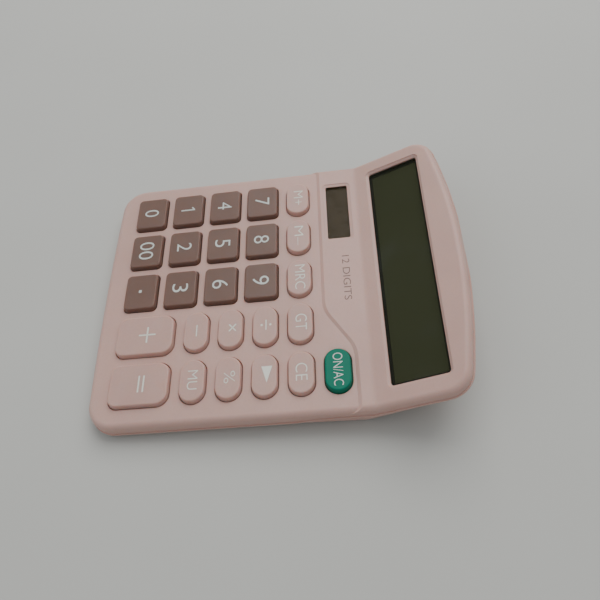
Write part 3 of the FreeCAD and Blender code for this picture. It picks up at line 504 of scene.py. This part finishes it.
@dataclass(frozen=True)
class MouldedPlastic(Finish):
    """Injection-moulded plastic with a fine spark-eroded texture and the marks of use."""

    name: str
    colour: Colour
    gloss: float = 0.42            # roughness of clean plastic
    grain: float = 0.35 * MM       # size of the moulded texture
    grain_depth: float = 0.012 * MM
    coat: float = 0.0
    shine: float = 0.4             # strength of the plain reflection
    depth: float = 0.0             # how much light sinks into the plastic
    glow: float = 0.9 * MM         # and how far it travels there

    def build(self, graph: Graph) -> None:
        """Mottled colour, smudged gloss and a fine pebbled grain."""
        cloud = graph.noise(28 * MM, 3.0)
        fleck = graph.noise(0.9 * MM, 2.0)
        body = graph.mix(cloud.ramp(0.3, 0.7), shade(self.colour, 0.965), shade(self.colour, 1.03))
        graph.set(Base_Color=graph.mix(fleck.ramp(0.35, 0.75, 0.0, 0.35), body, shade(self.colour, 0.93)))
        smudge = graph.noise(9 * MM, 4.0).ramp(0.42, 0.68)
        scuff = graph.noise(1.6 * MM, 3.0, (1, 6, 1)).ramp(0.6, 0.8)
        graph.set(Roughness=smudge * 0.07 + scuff * 0.05 + self.gloss)
        pebble = graph.noise(self.grain, 2.0)
        swell = graph.noise(6 * MM, 1.0)
        height = pebble * 0.6 + swell * 0.4
        graph.set(Normal=graph.bump(height, self.grain_depth), Coat_Weight=self.coat)
        graph.set(IOR=1.5, Coat_Roughness=0.12, Specular_IOR_Level=self.shine)
        graph.set(Subsurface_Weight=self.depth, Subsurface_Scale=self.glow)
        graph.set(Subsurface_Radius=(1.0, 0.5, 0.3))


@dataclass(frozen=True)
class KeyPrint(Finish):
    """Pad-printed ink, a little worn where fingers rub it."""

    name: str
    colour: Colour
    worn_colour: Colour

    def build(self, graph: Graph) -> None:
        """Ink with thin patches."""
        thin = graph.noise(0.7 * MM, 4.0).ramp(0.58, 0.78, 0.0, 0.55)
        graph.set(Base_Color=graph.mix(thin, self.colour, self.worn_colour), Roughness=0.5 - thin * 0.1)
        graph.set(Normal=graph.bump(graph.noise(0.15 * MM, 2.0), 0.004 * MM))


@dataclass(frozen=True)
class ClearPane(Finish):
    """A clear plastic window, tinted, with dust and fine scratches on its face."""

    name: str
    tint: Colour
    cover: float                   # how much of what lies behind the tint hides
    dust: float = 0.25

    def build(self, graph: Graph) -> None:
        """A dark gloss that lets the part behind show through, with specks of dust."""
        spots = graph.specks(5.5 * MM, 0.22 * MM) + graph.specks(1.9 * MM, 0.07 * MM) * 0.5
        haze = graph.noise(16 * MM, 5.0, (1, 0.6, 1)).ramp(0.5, 0.78)
        wipe = graph.noise(1.1 * MM, 4.0, (3, 1, 1)).ramp(0.6, 0.8) * graph.noise(12 * MM).ramp(0.5, 0.62)
        dirt = (spots * self.dust + haze * 0.05 + wipe * 0.09).math("MINIMUM", 1.0)
        graph.set(Base_Color=graph.mix(dirt, self.tint, (0.42, 0.47, 0.46)))
        graph.set(Alpha=dirt * (1 - self.cover) + self.cover, IOR=1.49, Specular_IOR_Level=0.06)
        graph.set(Roughness=dirt * 0.5 + haze * 0.05 + 0.06)


@dataclass(frozen=True)
class DisplayGlass(Finish):
    """The display's polariser over glass, olive and faintly clouded."""

    name: str
    colour: Colour
    light: Colour

    def build(self, graph: Graph) -> None:
        """A gentle cloud across the polariser."""
        cloud = graph.noise(45 * MM, 2.0).ramp(0.3, 0.7)
        grain = graph.noise(0.25 * MM, 1.0)
        graph.set(Base_Color=graph.mix(cloud, self.colour, self.light), Roughness=grain * 0.06 + 0.3)
        graph.set(Specular_IOR_Level=0.15)
        graph.set(Normal=graph.bump(grain, 0.003 * MM))


@dataclass(frozen=True)
class SolarFilm(Finish):
    """The solar cell: dark film in strips with fine gaps between them."""

    name: str
    colour: Colour
    gap_colour: Colour
    strip: float = 8.0 * MM

    def build(self, graph: Graph) -> None:
        """Strips along X with hairline gaps."""
        settings = {"wave_type": "BANDS", "bands_direction": "X", "wave_profile": "SAW"}
        inputs = {"Vector": graph.place(), "Scale": 1 / self.strip / WAVES_PER_METRE, "Distortion": 0.0}
        strips = Value(graph, graph.node("ShaderNodeTexWave", settings, inputs).outputs[1])
        gap = strips.ramp(0.97, 0.995)
        film = graph.noise(5 * MM, 3.0).ramp(0.3, 0.7)
        body = graph.mix(film, shade(self.colour, 0.9), shade(self.colour, 1.12))
        graph.set(Base_Color=graph.mix(gap * 0.5, body, self.gap_colour), Roughness=film * 0.1 + 0.25)
        graph.set(Specular_IOR_Level=0.15)


@dataclass(frozen=True)
class PlatedMetal(Finish):
    """Plated steel with fine turning marks and dulled patches."""

    name: str
    colour: Colour
    roughness: float = 0.28

    def build(self, graph: Graph) -> None:
        """Bright metal, dulled in patches."""
        dull = graph.noise(1.2 * MM, 4.0).ramp(0.4, 0.75)
        lines = graph.noise(0.12 * MM, 2.0, (1, 8, 8))
        graph.set(Metallic=1.0, Base_Color=graph.mix(dull, self.colour, shade(self.colour, 0.72)))
        graph.set(Roughness=dull * 0.18 + lines * 0.08 + self.roughness)
        graph.set(Normal=graph.bump(lines, 0.006 * MM))


@dataclass(frozen=True)
class SoftRubber(Finish):
    """Moulded rubber or silicone, dusty on its raised grain."""

    name: str
    colour: Colour
    roughness: float = 0.78

    def build(self, graph: Graph) -> None:
        """Matt rubber with a dusty bloom."""
        bloom = graph.noise(2.2 * MM, 4.0).ramp(0.45, 0.8, 0.0, 0.3)
        grain = graph.noise(0.18 * MM, 2.0)
        graph.set(Base_Color=graph.mix(bloom, self.colour, shade(self.colour, 1.7)))
        graph.set(Roughness=bloom * 0.2 + self.roughness, Normal=graph.bump(grain, 0.02 * MM))


@dataclass(frozen=True)
class CircuitBoard(Finish):
    """A board under green solder mask with its copper tracks raised under it."""

    name: str
    colour: Colour
    track_colour: Colour
    pitch: float = 1.27 * MM

    def build(self, graph: Graph) -> None:
        """Tracks at one pitch, broken up by blocks."""
        settings = {"wave_type": "BANDS", "bands_direction": "X"}
        inputs = {"Vector": graph.place(), "Scale": 1 / self.pitch / WAVES_PER_METRE, "Distortion": 0.0}
        lines = Value(graph, graph.node("ShaderNodeTexWave", settings, inputs).outputs[1]).ramp(0.5, 0.6)
        blocks = graph.noise(7 * MM, 0.0).ramp(0.48, 0.5)
        tracks = lines * blocks
        graph.set(Base_Color=graph.mix(tracks, self.colour, self.track_colour), Roughness=0.45 - tracks * 0.1)
        graph.set(Normal=graph.bump(tracks, 0.03 * MM))


CASE_PINK: Colour = (0.578, 0.368, 0.313)
KEY_MAUVE: Colour = (0.185, 0.110, 0.085)
CASE = MouldedPlastic("case_plastic", CASE_PINK, depth=0.5)
KEY_PINK = MouldedPlastic("pink_key_plastic", shade(CASE_PINK, 0.97), gloss=0.38, depth=0.7, glow=2.0 * MM)
KEY_DARK = MouldedPlastic("mauve_key_plastic", KEY_MAUVE, gloss=0.38, shine=0.3, depth=0.95, glow=3.0 * MM)
KEY_GREEN = MouldedPlastic("green_key_plastic", (0.0, 0.168, 0.104), gloss=0.3, grain_depth=0.004 * MM,
                           shine=0.12)
BLACK_PLASTIC = MouldedPlastic("black_plastic", (0.012, 0.012, 0.011))
INK = KeyPrint("white_ink", (0.60, 0.62, 0.57), (0.42, 0.40, 0.36))
PALE_INK = KeyPrint("pale_ink", (0.74, 0.72, 0.63), (0.62, 0.52, 0.45))
BAND_INK = KeyPrint("brown_ink", (0.16, 0.085, 0.06), (0.22, 0.13, 0.10))
LCD_PANE = ClearPane("display_pane", (0.028, 0.030, 0.016), 0.3)
SOLAR_PANE = ClearPane("solar_pane", (0.045, 0.033, 0.016), 0.25, dust=0.1)
LCD_GLASS = DisplayGlass("display_glass", (0.095, 0.105, 0.050), (0.112, 0.122, 0.062))
SOLAR_FILM = SolarFilm("solar_film", (0.085, 0.062, 0.032), (0.16, 0.13, 0.08))
SCREW_STEEL = PlatedMetal("screw_steel", (0.56, 0.56, 0.57))
CELL_STEEL = PlatedMetal("cell_steel", (0.66, 0.66, 0.66), 0.2)
SPRING_STRIP = PlatedMetal("spring_strip", (0.68, 0.64, 0.56), 0.24)
FOOT_RUBBER = SoftRubber("foot_rubber", (0.022, 0.022, 0.022))
SILICONE = SoftRubber("grey_silicone", (0.42, 0.42, 0.42), 0.6)
CONNECTOR = SoftRubber("layered_rubber", (0.03, 0.03, 0.03))
BOARD = CircuitBoard("green_board", (0.012, 0.10, 0.035), (0.03, 0.19, 0.07))
RESIN = MouldedPlastic("black_resin", (0.012, 0.012, 0.012), gloss=0.16, coat=0.5)
FILM = MouldedPlastic("white_film", (0.66, 0.66, 0.66), gloss=0.3)

HIDDEN_FINISHES: dict[str, Finish] = {
    "keypad_sheet": SILICONE, "main_board": BOARD, "display_board": BOARD, "controller_chip": RESIN,
    "ribbon_cable": FILM, "lcd_frame": BLACK_PLASTIC, "rubber_connector": CONNECTOR,
    "button_cell": CELL_STEEL, "contact_positive": SPRING_STRIP, "contact_negative": SPRING_STRIP,
    "solar_leads": SPRING_STRIP, "board_screws": SCREW_STEEL, "case_screws": SCREW_STEEL,
    "battery_cover_screw": SCREW_STEEL, "rubber_feet": FOOT_RUBBER, "display_window": LCD_PANE,
    "lcd_panel": LCD_GLASS, "solar_window": SOLAR_PANE, "solar_cell": SOLAR_FILM,
}

# ---------------------------------------------------------------- the frame

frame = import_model()
CASE_BODY = frame["joints"][0]["parent"]
KEY_BODY = {joint["name"].removeprefix("press_"): joint["child"] for joint in frame["joints"]}


def deck_slope() -> Slope:
    """The key deck's axes, from the way the keys travel."""
    axis = Vector(frame["joints"][0]["axis"])
    return Slope(math.degrees(math.atan2(-axis.y, axis.z)))


DECK = deck_slope()
DISPLAY = Slope(DECK.degrees + DISPLAY_LEAN)


def finish_piece(work: Work, body: str, nodes: Sequence[str], finish: Finish) -> None:
    """Dresses a finished piece and ties it to the frame.

    Args:
        work: The piece on the bench.
        body: The body that it rides on.
        nodes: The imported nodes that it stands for.
        finish: Its finish.
    """
    work.dress(finish)
    if nodes:
        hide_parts(*nodes)
    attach(work.piece, body)
    log.info("%s: %d faces on %s", work.piece.name, len(work.piece.data.polygons), body)


# ---------------------------------------------------------------- housings

@dataclass
class Housings:
    """The two halves of the case and the battery cover, with their edges softened."""

    edge: float = 0.28 * MM        # round of the key holes and other outer edges
    fine_edge: float = 0.07 * MM   # round of the window rims and the bead
    sharp: float = 35.0
    step_sharp: float = 26.0       # the step's edges bend a little more than this
    key_height: float = 2.0 * MM
    band_rise: float = 0.8 * MM

    def build(self) -> None:
        """Makes the three shells."""
        self.upper()
        for node in ("lower_housing", "battery_cover"):
            shell = Work.copy_of(node, node + "_shell")
            shell.soften(self.fine_edge, 2, self.sharp_edge)
            shell.smooth(self.sharp)
            finish_piece(shell, CASE_BODY, [node], CASE)

    def upper(self) -> None:
        """The upper shell: round key holes, and crisp rims round the two windows."""
        shell = Work.copy_of("upper_housing", "upper_housing_shell")
        shell.soften(self.edge, 4, self.hole_edge)
        shell.soften(self.fine_edge, 2, self.window_edge)
        shell.smooth(self.step_sharp)
        finish_piece(shell, CASE_BODY, ["upper_housing"], CASE)

    def sharp_edge(self, edge: Any) -> bool:
        """True for an edge that bends more than the limit."""
        return len(edge.link_faces) == 2 and edge.calc_face_angle(0) > math.radians(self.sharp)

    def hole_edge(self, edge: Any) -> bool:
        """True for an edge of a key hole, on the deck's or the band's surface."""
        back = DECK.turn.inverted()
        deck = DECK.extent("key_7")[1].z - self.key_height
        heights = [(back @ vertex.co).z - deck for vertex in edge.verts]
        level = all(min(abs(height), abs(height - self.band_rise)) < 2 * LEVEL for height in heights)
        return level and self.sharp_edge(edge) and not self.near_window(edge)

    def window_edge(self, edge: Any) -> bool:
        """True for a sharp edge of a window's rim, seen from above."""
        return self.near_window(edge) and self.sharp_edge(edge)

    @staticmethod
    def near_window(edge: Any) -> bool:
        """True for an edge over one of the windows or its rim."""
        for slope, node, cover in ((DISPLAY, "display_window", 0.1 * MM), (DECK, "solar_window", -0.1 * MM)):
            low, high = slope.extent(node)
            points = [slope.turn.inverted() @ vertex.co for vertex in edge.verts]
            inside = all(low.x - MM < point.x < high.x + MM and low.y - MM < point.y < high.y + MM
                         and point.z > high.z + cover for point in points)
            if inside:
                return True
        return False


# ---------------------------------------------------------------- keys

class Cap(Enum):
    """The moulds that the keys come from, with the front and rear corner radii of their holes."""

    NUMBER = (2.3 * MM, 2.3 * MM)
    FUNCTION = (5.35 * MM, 5.35 * MM)
    BIG = (4.0 * MM, 5.0 * MM)


@dataclass
class Keys:
    """The key caps: flat-topped, drafted and hollow, with a flange under the deck and a plunger."""

    lip: float = 0.6 * MM          # flange beyond the hole, each side
    gap: float = 0.3 * MM          # cap to the hole's side
    height: float = 2.0 * MM       # top above the deck
    draft: tuple[float, float] = (0.5 * MM, 0.2 * MM)
    top_round: float = 0.5 * MM
    wall: float = 1.1 * MM
    crown: float = 1.3 * MM
    flange: float = 0.7 * MM
    drop: float = 0.5 * MM         # plunger below the flange
    plunger: float = 1.6 * MM
    seam: float = 0.08 * MM        # round of the flange's edges
    slack: float = 0.001 * MM      # keeps two full rounds of one end from meeting
    sharp: float = 30.0            # a rim bends more than this

    def build(self) -> None:
        """Models each mould once and lays a copy down for every key."""
        moulds: dict[Cap, Work] = {}
        for key, body in KEY_BODY.items():
            cap = self.mould_of(key)
            node = "key_" + key
            low, high = DECK.extent(node)
            if cap not in moulds:
                moulds[cap] = self.model(cap, high - low)
            piece = moulds[cap].duplicate(node + "_cap")
            middle = (low + high) / 2
            piece.settle(DECK.turn @ Matrix.Translation((middle.x, middle.y, high.z - self.height)))
            slot, finish = self.finish_of(key)
            finish_piece(piece, body, [node], finish)
        for mould in moulds.values():
            mould.discard()

    @staticmethod
    def mould_of(key: str) -> Cap:
        """The mould that a key comes from."""
        if key in BIG_KEYS:
            return Cap.BIG
        return Cap.NUMBER if key in NUMBER_KEYS else Cap.FUNCTION

    @staticmethod
    def finish_of(key: str) -> tuple[str, Finish]:
        """A name for the key's colour, and its finish."""
        if key in NUMBER_KEYS:
            return "key_mauve", KEY_DARK
        return ("key_green", KEY_GREEN) if key == "on_clear" else ("key_pink", KEY_PINK)

    def model(self, cap: Cap, size: Vector) -> Work:
        """One key at the origin, with the deck's surface at Z = 0.

        Args:
            cap: The mould.
            size: The whole key's size, over its flange.

        Returns:
            The key on the bench.
        """
        ceiling = self.height - self.crown
        foot = self.height - size.z + self.drop
        half = Vector((size.x / 2, size.y / 2, 0))
        key = Work.sheet(cap.name, Vector((-half.x, -half.y, foot)), Vector((half.x, half.y, foot)))
        front, rear = (radius + self.lip - self.slack for radius in cap.value)

        def at_side(corner: Any) -> bool:
            """True for a corner on one of the key's sides."""
            return abs(corner.co.x) > half.x * EDGE_SHARE

        key.round_corners(front, 10, lambda corner: corner.co.y < -half.y / 2 and at_side(corner))
        key.round_corners(rear, 10, lambda corner: corner.co.y > half.y * EDGE_SHARE and at_side(corner))
        key.rise(self.flange, (0, 0), lambda face: True)
        key.inset(self.lip + self.gap, self.facing(foot + self.flange, 1))
        key.rise(-foot - self.flange, (0, 0), self.facing(foot + self.flange, 1))
        key.rise(self.height, self.draft, self.facing(0, 1))
        key.soften(self.top_round, 5, self.rim(self.height))
        key.inset(self.lip + self.gap + self.wall, self.facing(foot, -1))
        key.rise(ceiling - foot, (0, 0), self.facing(foot, -1))
        key.soften(self.seam, 2, self.rim(foot + self.flange))
        self.add_plunger(key, ceiling, foot - self.drop)
        key.close()
        return key

    def add_plunger(self, key: Work, ceiling: float, end: float) -> None:
        """Joins the round plunger, which hangs from the key's ceiling to an end height."""
        Work.clear()
        depth = ceiling + self.crown / 2 - end
        bpy.ops.mesh.primitive_cylinder_add(vertices=32, radius=self.plunger, depth=depth,
                                            location=(0, 0, end + depth / 2))
        plunger = Work("plunger")
        plunger.settle(Matrix.Identity(4))
        plunger.soften(self.plunger / 5, 3, self.rim(end))
        key.join(plunger)

    @staticmethod
    def facing(height: float, sign: int) -> Callable[[Any], bool]:
        """A test for the broad level face at a height that faces up or down."""
        def test(face: Any) -> bool:
            """True for the wanted face."""
            level = abs(face.calc_center_median().z - height) < LEVEL
            return level and face.normal.z * sign > 0.99 and len(face.verts) > 4
        return test

    @staticmethod
    def rim(height: float) -> Callable[[Any], bool]:
        """A test for an outer edge at a height."""
        def test(edge: Any) -> bool:
            """True for the wanted edge."""
            level = all(abs(vertex.co.z - height) < LEVEL for vertex in edge.verts)
            return level and edge.is_convex and edge.calc_face_angle(0) > math.radians(Keys.sharp)
        return test


@dataclass
class KeyPrints:
    """The marks on the keys, printed a little proud of their tops."""

    height: float = 0.016 * MM     # print above the key
    pen: float = 0.66 * MM         # width of a drawn stroke
    weight: float = -0.008         # of the figures
    light: float = -0.014          # of the letters on the pink keys
    bold: float = -0.008           # of the letters on the green key

    def build(self) -> None:
        """Prints every key."""
        for key, body in KEY_BODY.items():
            low, high = DECK.extent("key_" + key)
            middle = (low + high) / 2
            mark = self.drawn(key) if key in DRAWN_MARKS else self.lettered(key)
            rise = MARK_RISE.get(key, 0.0) * MM
            self.lay(mark, "print_" + key, Vector((middle.x, middle.y + rise, high.z)))
            slot = self.slot_of(key)
            finish_piece(mark, body, [], PALE_INK if slot == "key_pink" else INK)

    @staticmethod
    def slot_of(key: str) -> str:
        """The colour name of the key under the print."""
        return Keys.finish_of(key)[0]

    def lettered(self, key: str) -> Work:
        """A mark set in letters or figures."""
        text, width, height = LETTERED_MARKS[key]
        weight = self.weight if key in NUMBER_KEYS else self.bold if key == "on_clear" else self.light
        return Work.lettering(key, text, (width * MM, height * MM), weight)

    def drawn(self, key: str) -> Work:
        """A mark made of strokes."""
        strokes = [Work.stroke((length * MM, self.pen * pen), (x * MM, y * MM), degrees)
                   for length, pen, x, y, degrees in DRAWN_MARKS[key]]
        if key == "right_shift":
            strokes.append(self.arrow())
        for other in strokes[1:]:
            strokes[0].join(other)
        return strokes[0]

    def arrow(self) -> Work:
        """The filled arrowhead of the shift key."""
        half = Vector((3.4 * MM, 2.1 * MM, 0))
        arrow = Work.sheet("arrow", -half, half)
        with arrow.editing():
            arrow.pick(Part.CORNERS, lambda corner: corner.co.x > 0)
            bpy.ops.mesh.merge(type="CENTER")
        return arrow

    def lay(self, mark: Work, name: str, place: Vector) -> None:
        """Gives a flat mark its thickness and lays it on the key's top."""
        mark.piece.name = mark.piece.data.name = name
        with mark.editing():
            bpy.ops.mesh.select_all(action="SELECT")
            bpy.ops.mesh.remove_doubles(threshold=1e-7)
            bpy.ops.mesh.extrude_region_move(TRANSFORM_OT_translate={"value": (0, 0, 2 * self.height)})
            bpy.ops.mesh.select_all(action="SELECT")
            bpy.ops.mesh.normals_make_consistent(inside=False)
        mark.settle(DECK.turn @ Matrix.Translation(place - Vector((0, 0, self.height))))
        mark.smooth(30)


NUMBER_KEYS = ("0", "00", "point", "1", "2", "3", "4", "5", "6", "7", "8", "9")
BIG_KEYS = ("add", "equals")

# Each mark: its letters, and the width and height that they fill in millimetres.
LETTERED_MARKS: dict[str, tuple[str, float, float]] = {
    "0": ("0", 4.0, 6.5), "00": ("00", 9.4, 6.5), "2": ("2", 4.1, 6.5), "3": ("3", 4.2, 6.8),
    "4": ("4", 4.2, 6.5), "5": ("5", 4.0, 6.8), "6": ("6", 4.3, 6.8), "7": ("7", 4.2, 6.5),
    "8": ("8", 4.1, 6.6), "9": ("9", 4.3, 6.9), "percent": ("%", 5.0, 4.3),
    "memory_plus": ("M+", 8.2, 4.1), "memory_minus": ("M\u2013", 10.4, 3.8),
    "memory_recall": ("MRC", 12.0, 4.2), "grand_total": ("GT", 7.3, 4.5), "clear_entry": ("CE", 7.2, 4.5),
    "mark_up": ("MU", 8.0, 3.9), "on_clear": ("ON/AC", 13.4, 3.7),
}

# How far up from a key's middle its mark stands, in millimetres.
MARK_RISE: dict[str, float] = {
    "add": 1.1, "equals": 1.1, "subtract": 0.4, "multiply": 1.0, "divide": 0.5, "right_shift": 1.0,
    "percent": 0.7, "mark_up": 0.3, "memory_plus": 0.5, "memory_minus": 0.4, "memory_recall": 0.5,
    "grand_total": 0.5, "clear_entry": 0.2, "on_clear": 0.1,
}

# Each stroke: its length in millimetres, its width in pens, its middle, and its turn in degrees.
DRAWN_MARKS: dict[str, tuple[tuple[float, float, float, float, float], ...]] = {
    "1": ((6.5, 1.0, 0.35, 0.0, 90.0), (2.0, 1.0, -0.38, 2.45, 38.0)),
    "point": ((1.4, 1.9, 0.0, -0.2, 0.0),),
    "add": ((7.2, 1.0, 0.0, 0.0, 0.0), (7.0, 1.0, 0.0, 0.0, 90.0)),
    "equals": ((7.0, 0.95, 0.0, 0.95, 0.0), (7.0, 0.95, 0.0, -0.95, 0.0)),
    "subtract": ((5.2, 0.7, 0.0, 0.0, 0.0),),
    "multiply": ((4.2, 0.8, 0.0, 0.0, 42.0), (4.2, 0.8, 0.0, 0.0, -42.0)),
    "divide": ((4.6, 0.7, 0.0, 0.0, 0.0), (0.9, 1.3, 0.0, 1.75, 0.0), (0.9, 1.3, 0.0, -1.75, 0.0)),
    "right_shift": (),
}


@dataclass
class BandPrint:
    """A plain word on the raised band, in the case's own dark ink."""

    text: str = "12 DIGITS"
    size: tuple[float, float] = (22.0 * MM, 3.0 * MM)
    place: tuple[float, float] = (1.5 * MM, 2.0 * MM)      # from the band's middle and the solar window's
    height: float = 0.016 * MM
    above_window: float = 0.9 * MM                         # the band's surface over the solar window

    def build(self) -> None:
        """Prints the word level with the solar window."""
        low, high = DECK.extent("solar_window")
        word = Work.lettering("band_print", self.text, self.size, -0.008)
        across, up = self.place
        place = Vector((across, (low.y + high.y) / 2 + up, high.z + self.above_window))
        KeyPrints(self.height).lay(word, "band_print", place)
        finish_piece(word, CASE_BODY, [], BAND_INK)


# ---------------------------------------------------------------- studio

@dataclass
class Studio:
    """The floor, the lights and the camera."""

    eye: Vector = Vector((0.1408, 0.02623, 0.2176))
    gaze: Vector = Vector((-0.53414, -0.06807, -0.84265))
    image_up: Vector = Vector((-0.84518, 0.06570, 0.53043))
    lens: float = 36.0
    sensor: float = 36.0

    def build(self) -> None:
        """Sets up the whole studio."""
        self.camera()
        self.floor()
        self.lights()

    def camera(self) -> None:
        """The camera over the calculator's right side, with the display to the right in view."""
        Work.clear()
        bpy.ops.object.camera_add(location=self.eye)
        camera = bpy.context.active_object
        back = -self.gaze.normalized()
        right = self.image_up.cross(back).normalized()
        up = back.cross(right)
        camera.matrix_world = Matrix.Translation(self.eye) @ Matrix((right, up, back)).transposed().to_4x4()
        camera.data.lens, camera.data.sensor_width = self.lens, self.sensor
        camera.data.clip_start = 0.01
        bpy.context.scene.camera = camera

    def floor(self) -> None:
        """A wide pale floor."""
        Work.clear()
        bpy.ops.mesh.primitive_plane_add(size=6.0)
        floor = Work("floor")
        graph = Graph("floor_paint")
        cloud = graph.noise(0.12, 2.0).ramp(0.3, 0.7)
        graph.set(Base_Color=graph.mix(cloud, (0.515, 0.508, 0.470), (0.53, 0.523, 0.486)), Roughness=0.8)
        floor.piece.data.materials.append(graph.made)

    def lights(self) -> None:
        """A big soft light over the calculator's left, a weaker one in front, and an even sky."""
        self.panel((-0.58, 0.22, 0.82), 0.9, 9.0)
        self.panel((0.15, -0.7, 0.6), 0.9, 1.2)
        world = bpy.data.worlds.new("sky")
        bpy.context.scene.world = world
        world.use_nodes = True
        world.node_tree.nodes["Background"].inputs["Color"].default_value = (0.9, 0.95, 1.0, 1.0)
        world.node_tree.nodes["Background"].inputs["Strength"].default_value = 0.48

    def panel(self, place: Sequence[float], size: float, power: float) -> None:
        """One square light that faces the object."""
        Work.clear()
        bpy.ops.object.light_add(type="AREA", location=place)
        light = bpy.context.active_object
        light.data.size, light.data.energy = size, power
        light.rotation_euler = (-Vector(place)).to_track_quat("-Z", "Y").to_euler()


def dress_nodes() -> None:
    """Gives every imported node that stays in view, or inside, its finish."""
    for name, finish in HIDDEN_FINISHES.items():
        materials = frame["nodes"][name].data.materials
        materials.clear()
        materials.append(finish.material())


def main() -> None:
    """Builds the calculator and its studio in order."""
    logging.basicConfig(level=logging.INFO, format="%(name)s %(message)s")
    Studio().build()
    dress_nodes()
    Housings().build()
    Keys().build()
    KeyPrints().build()
    BandPrint().build()


if __name__ == "__main__":
    main()
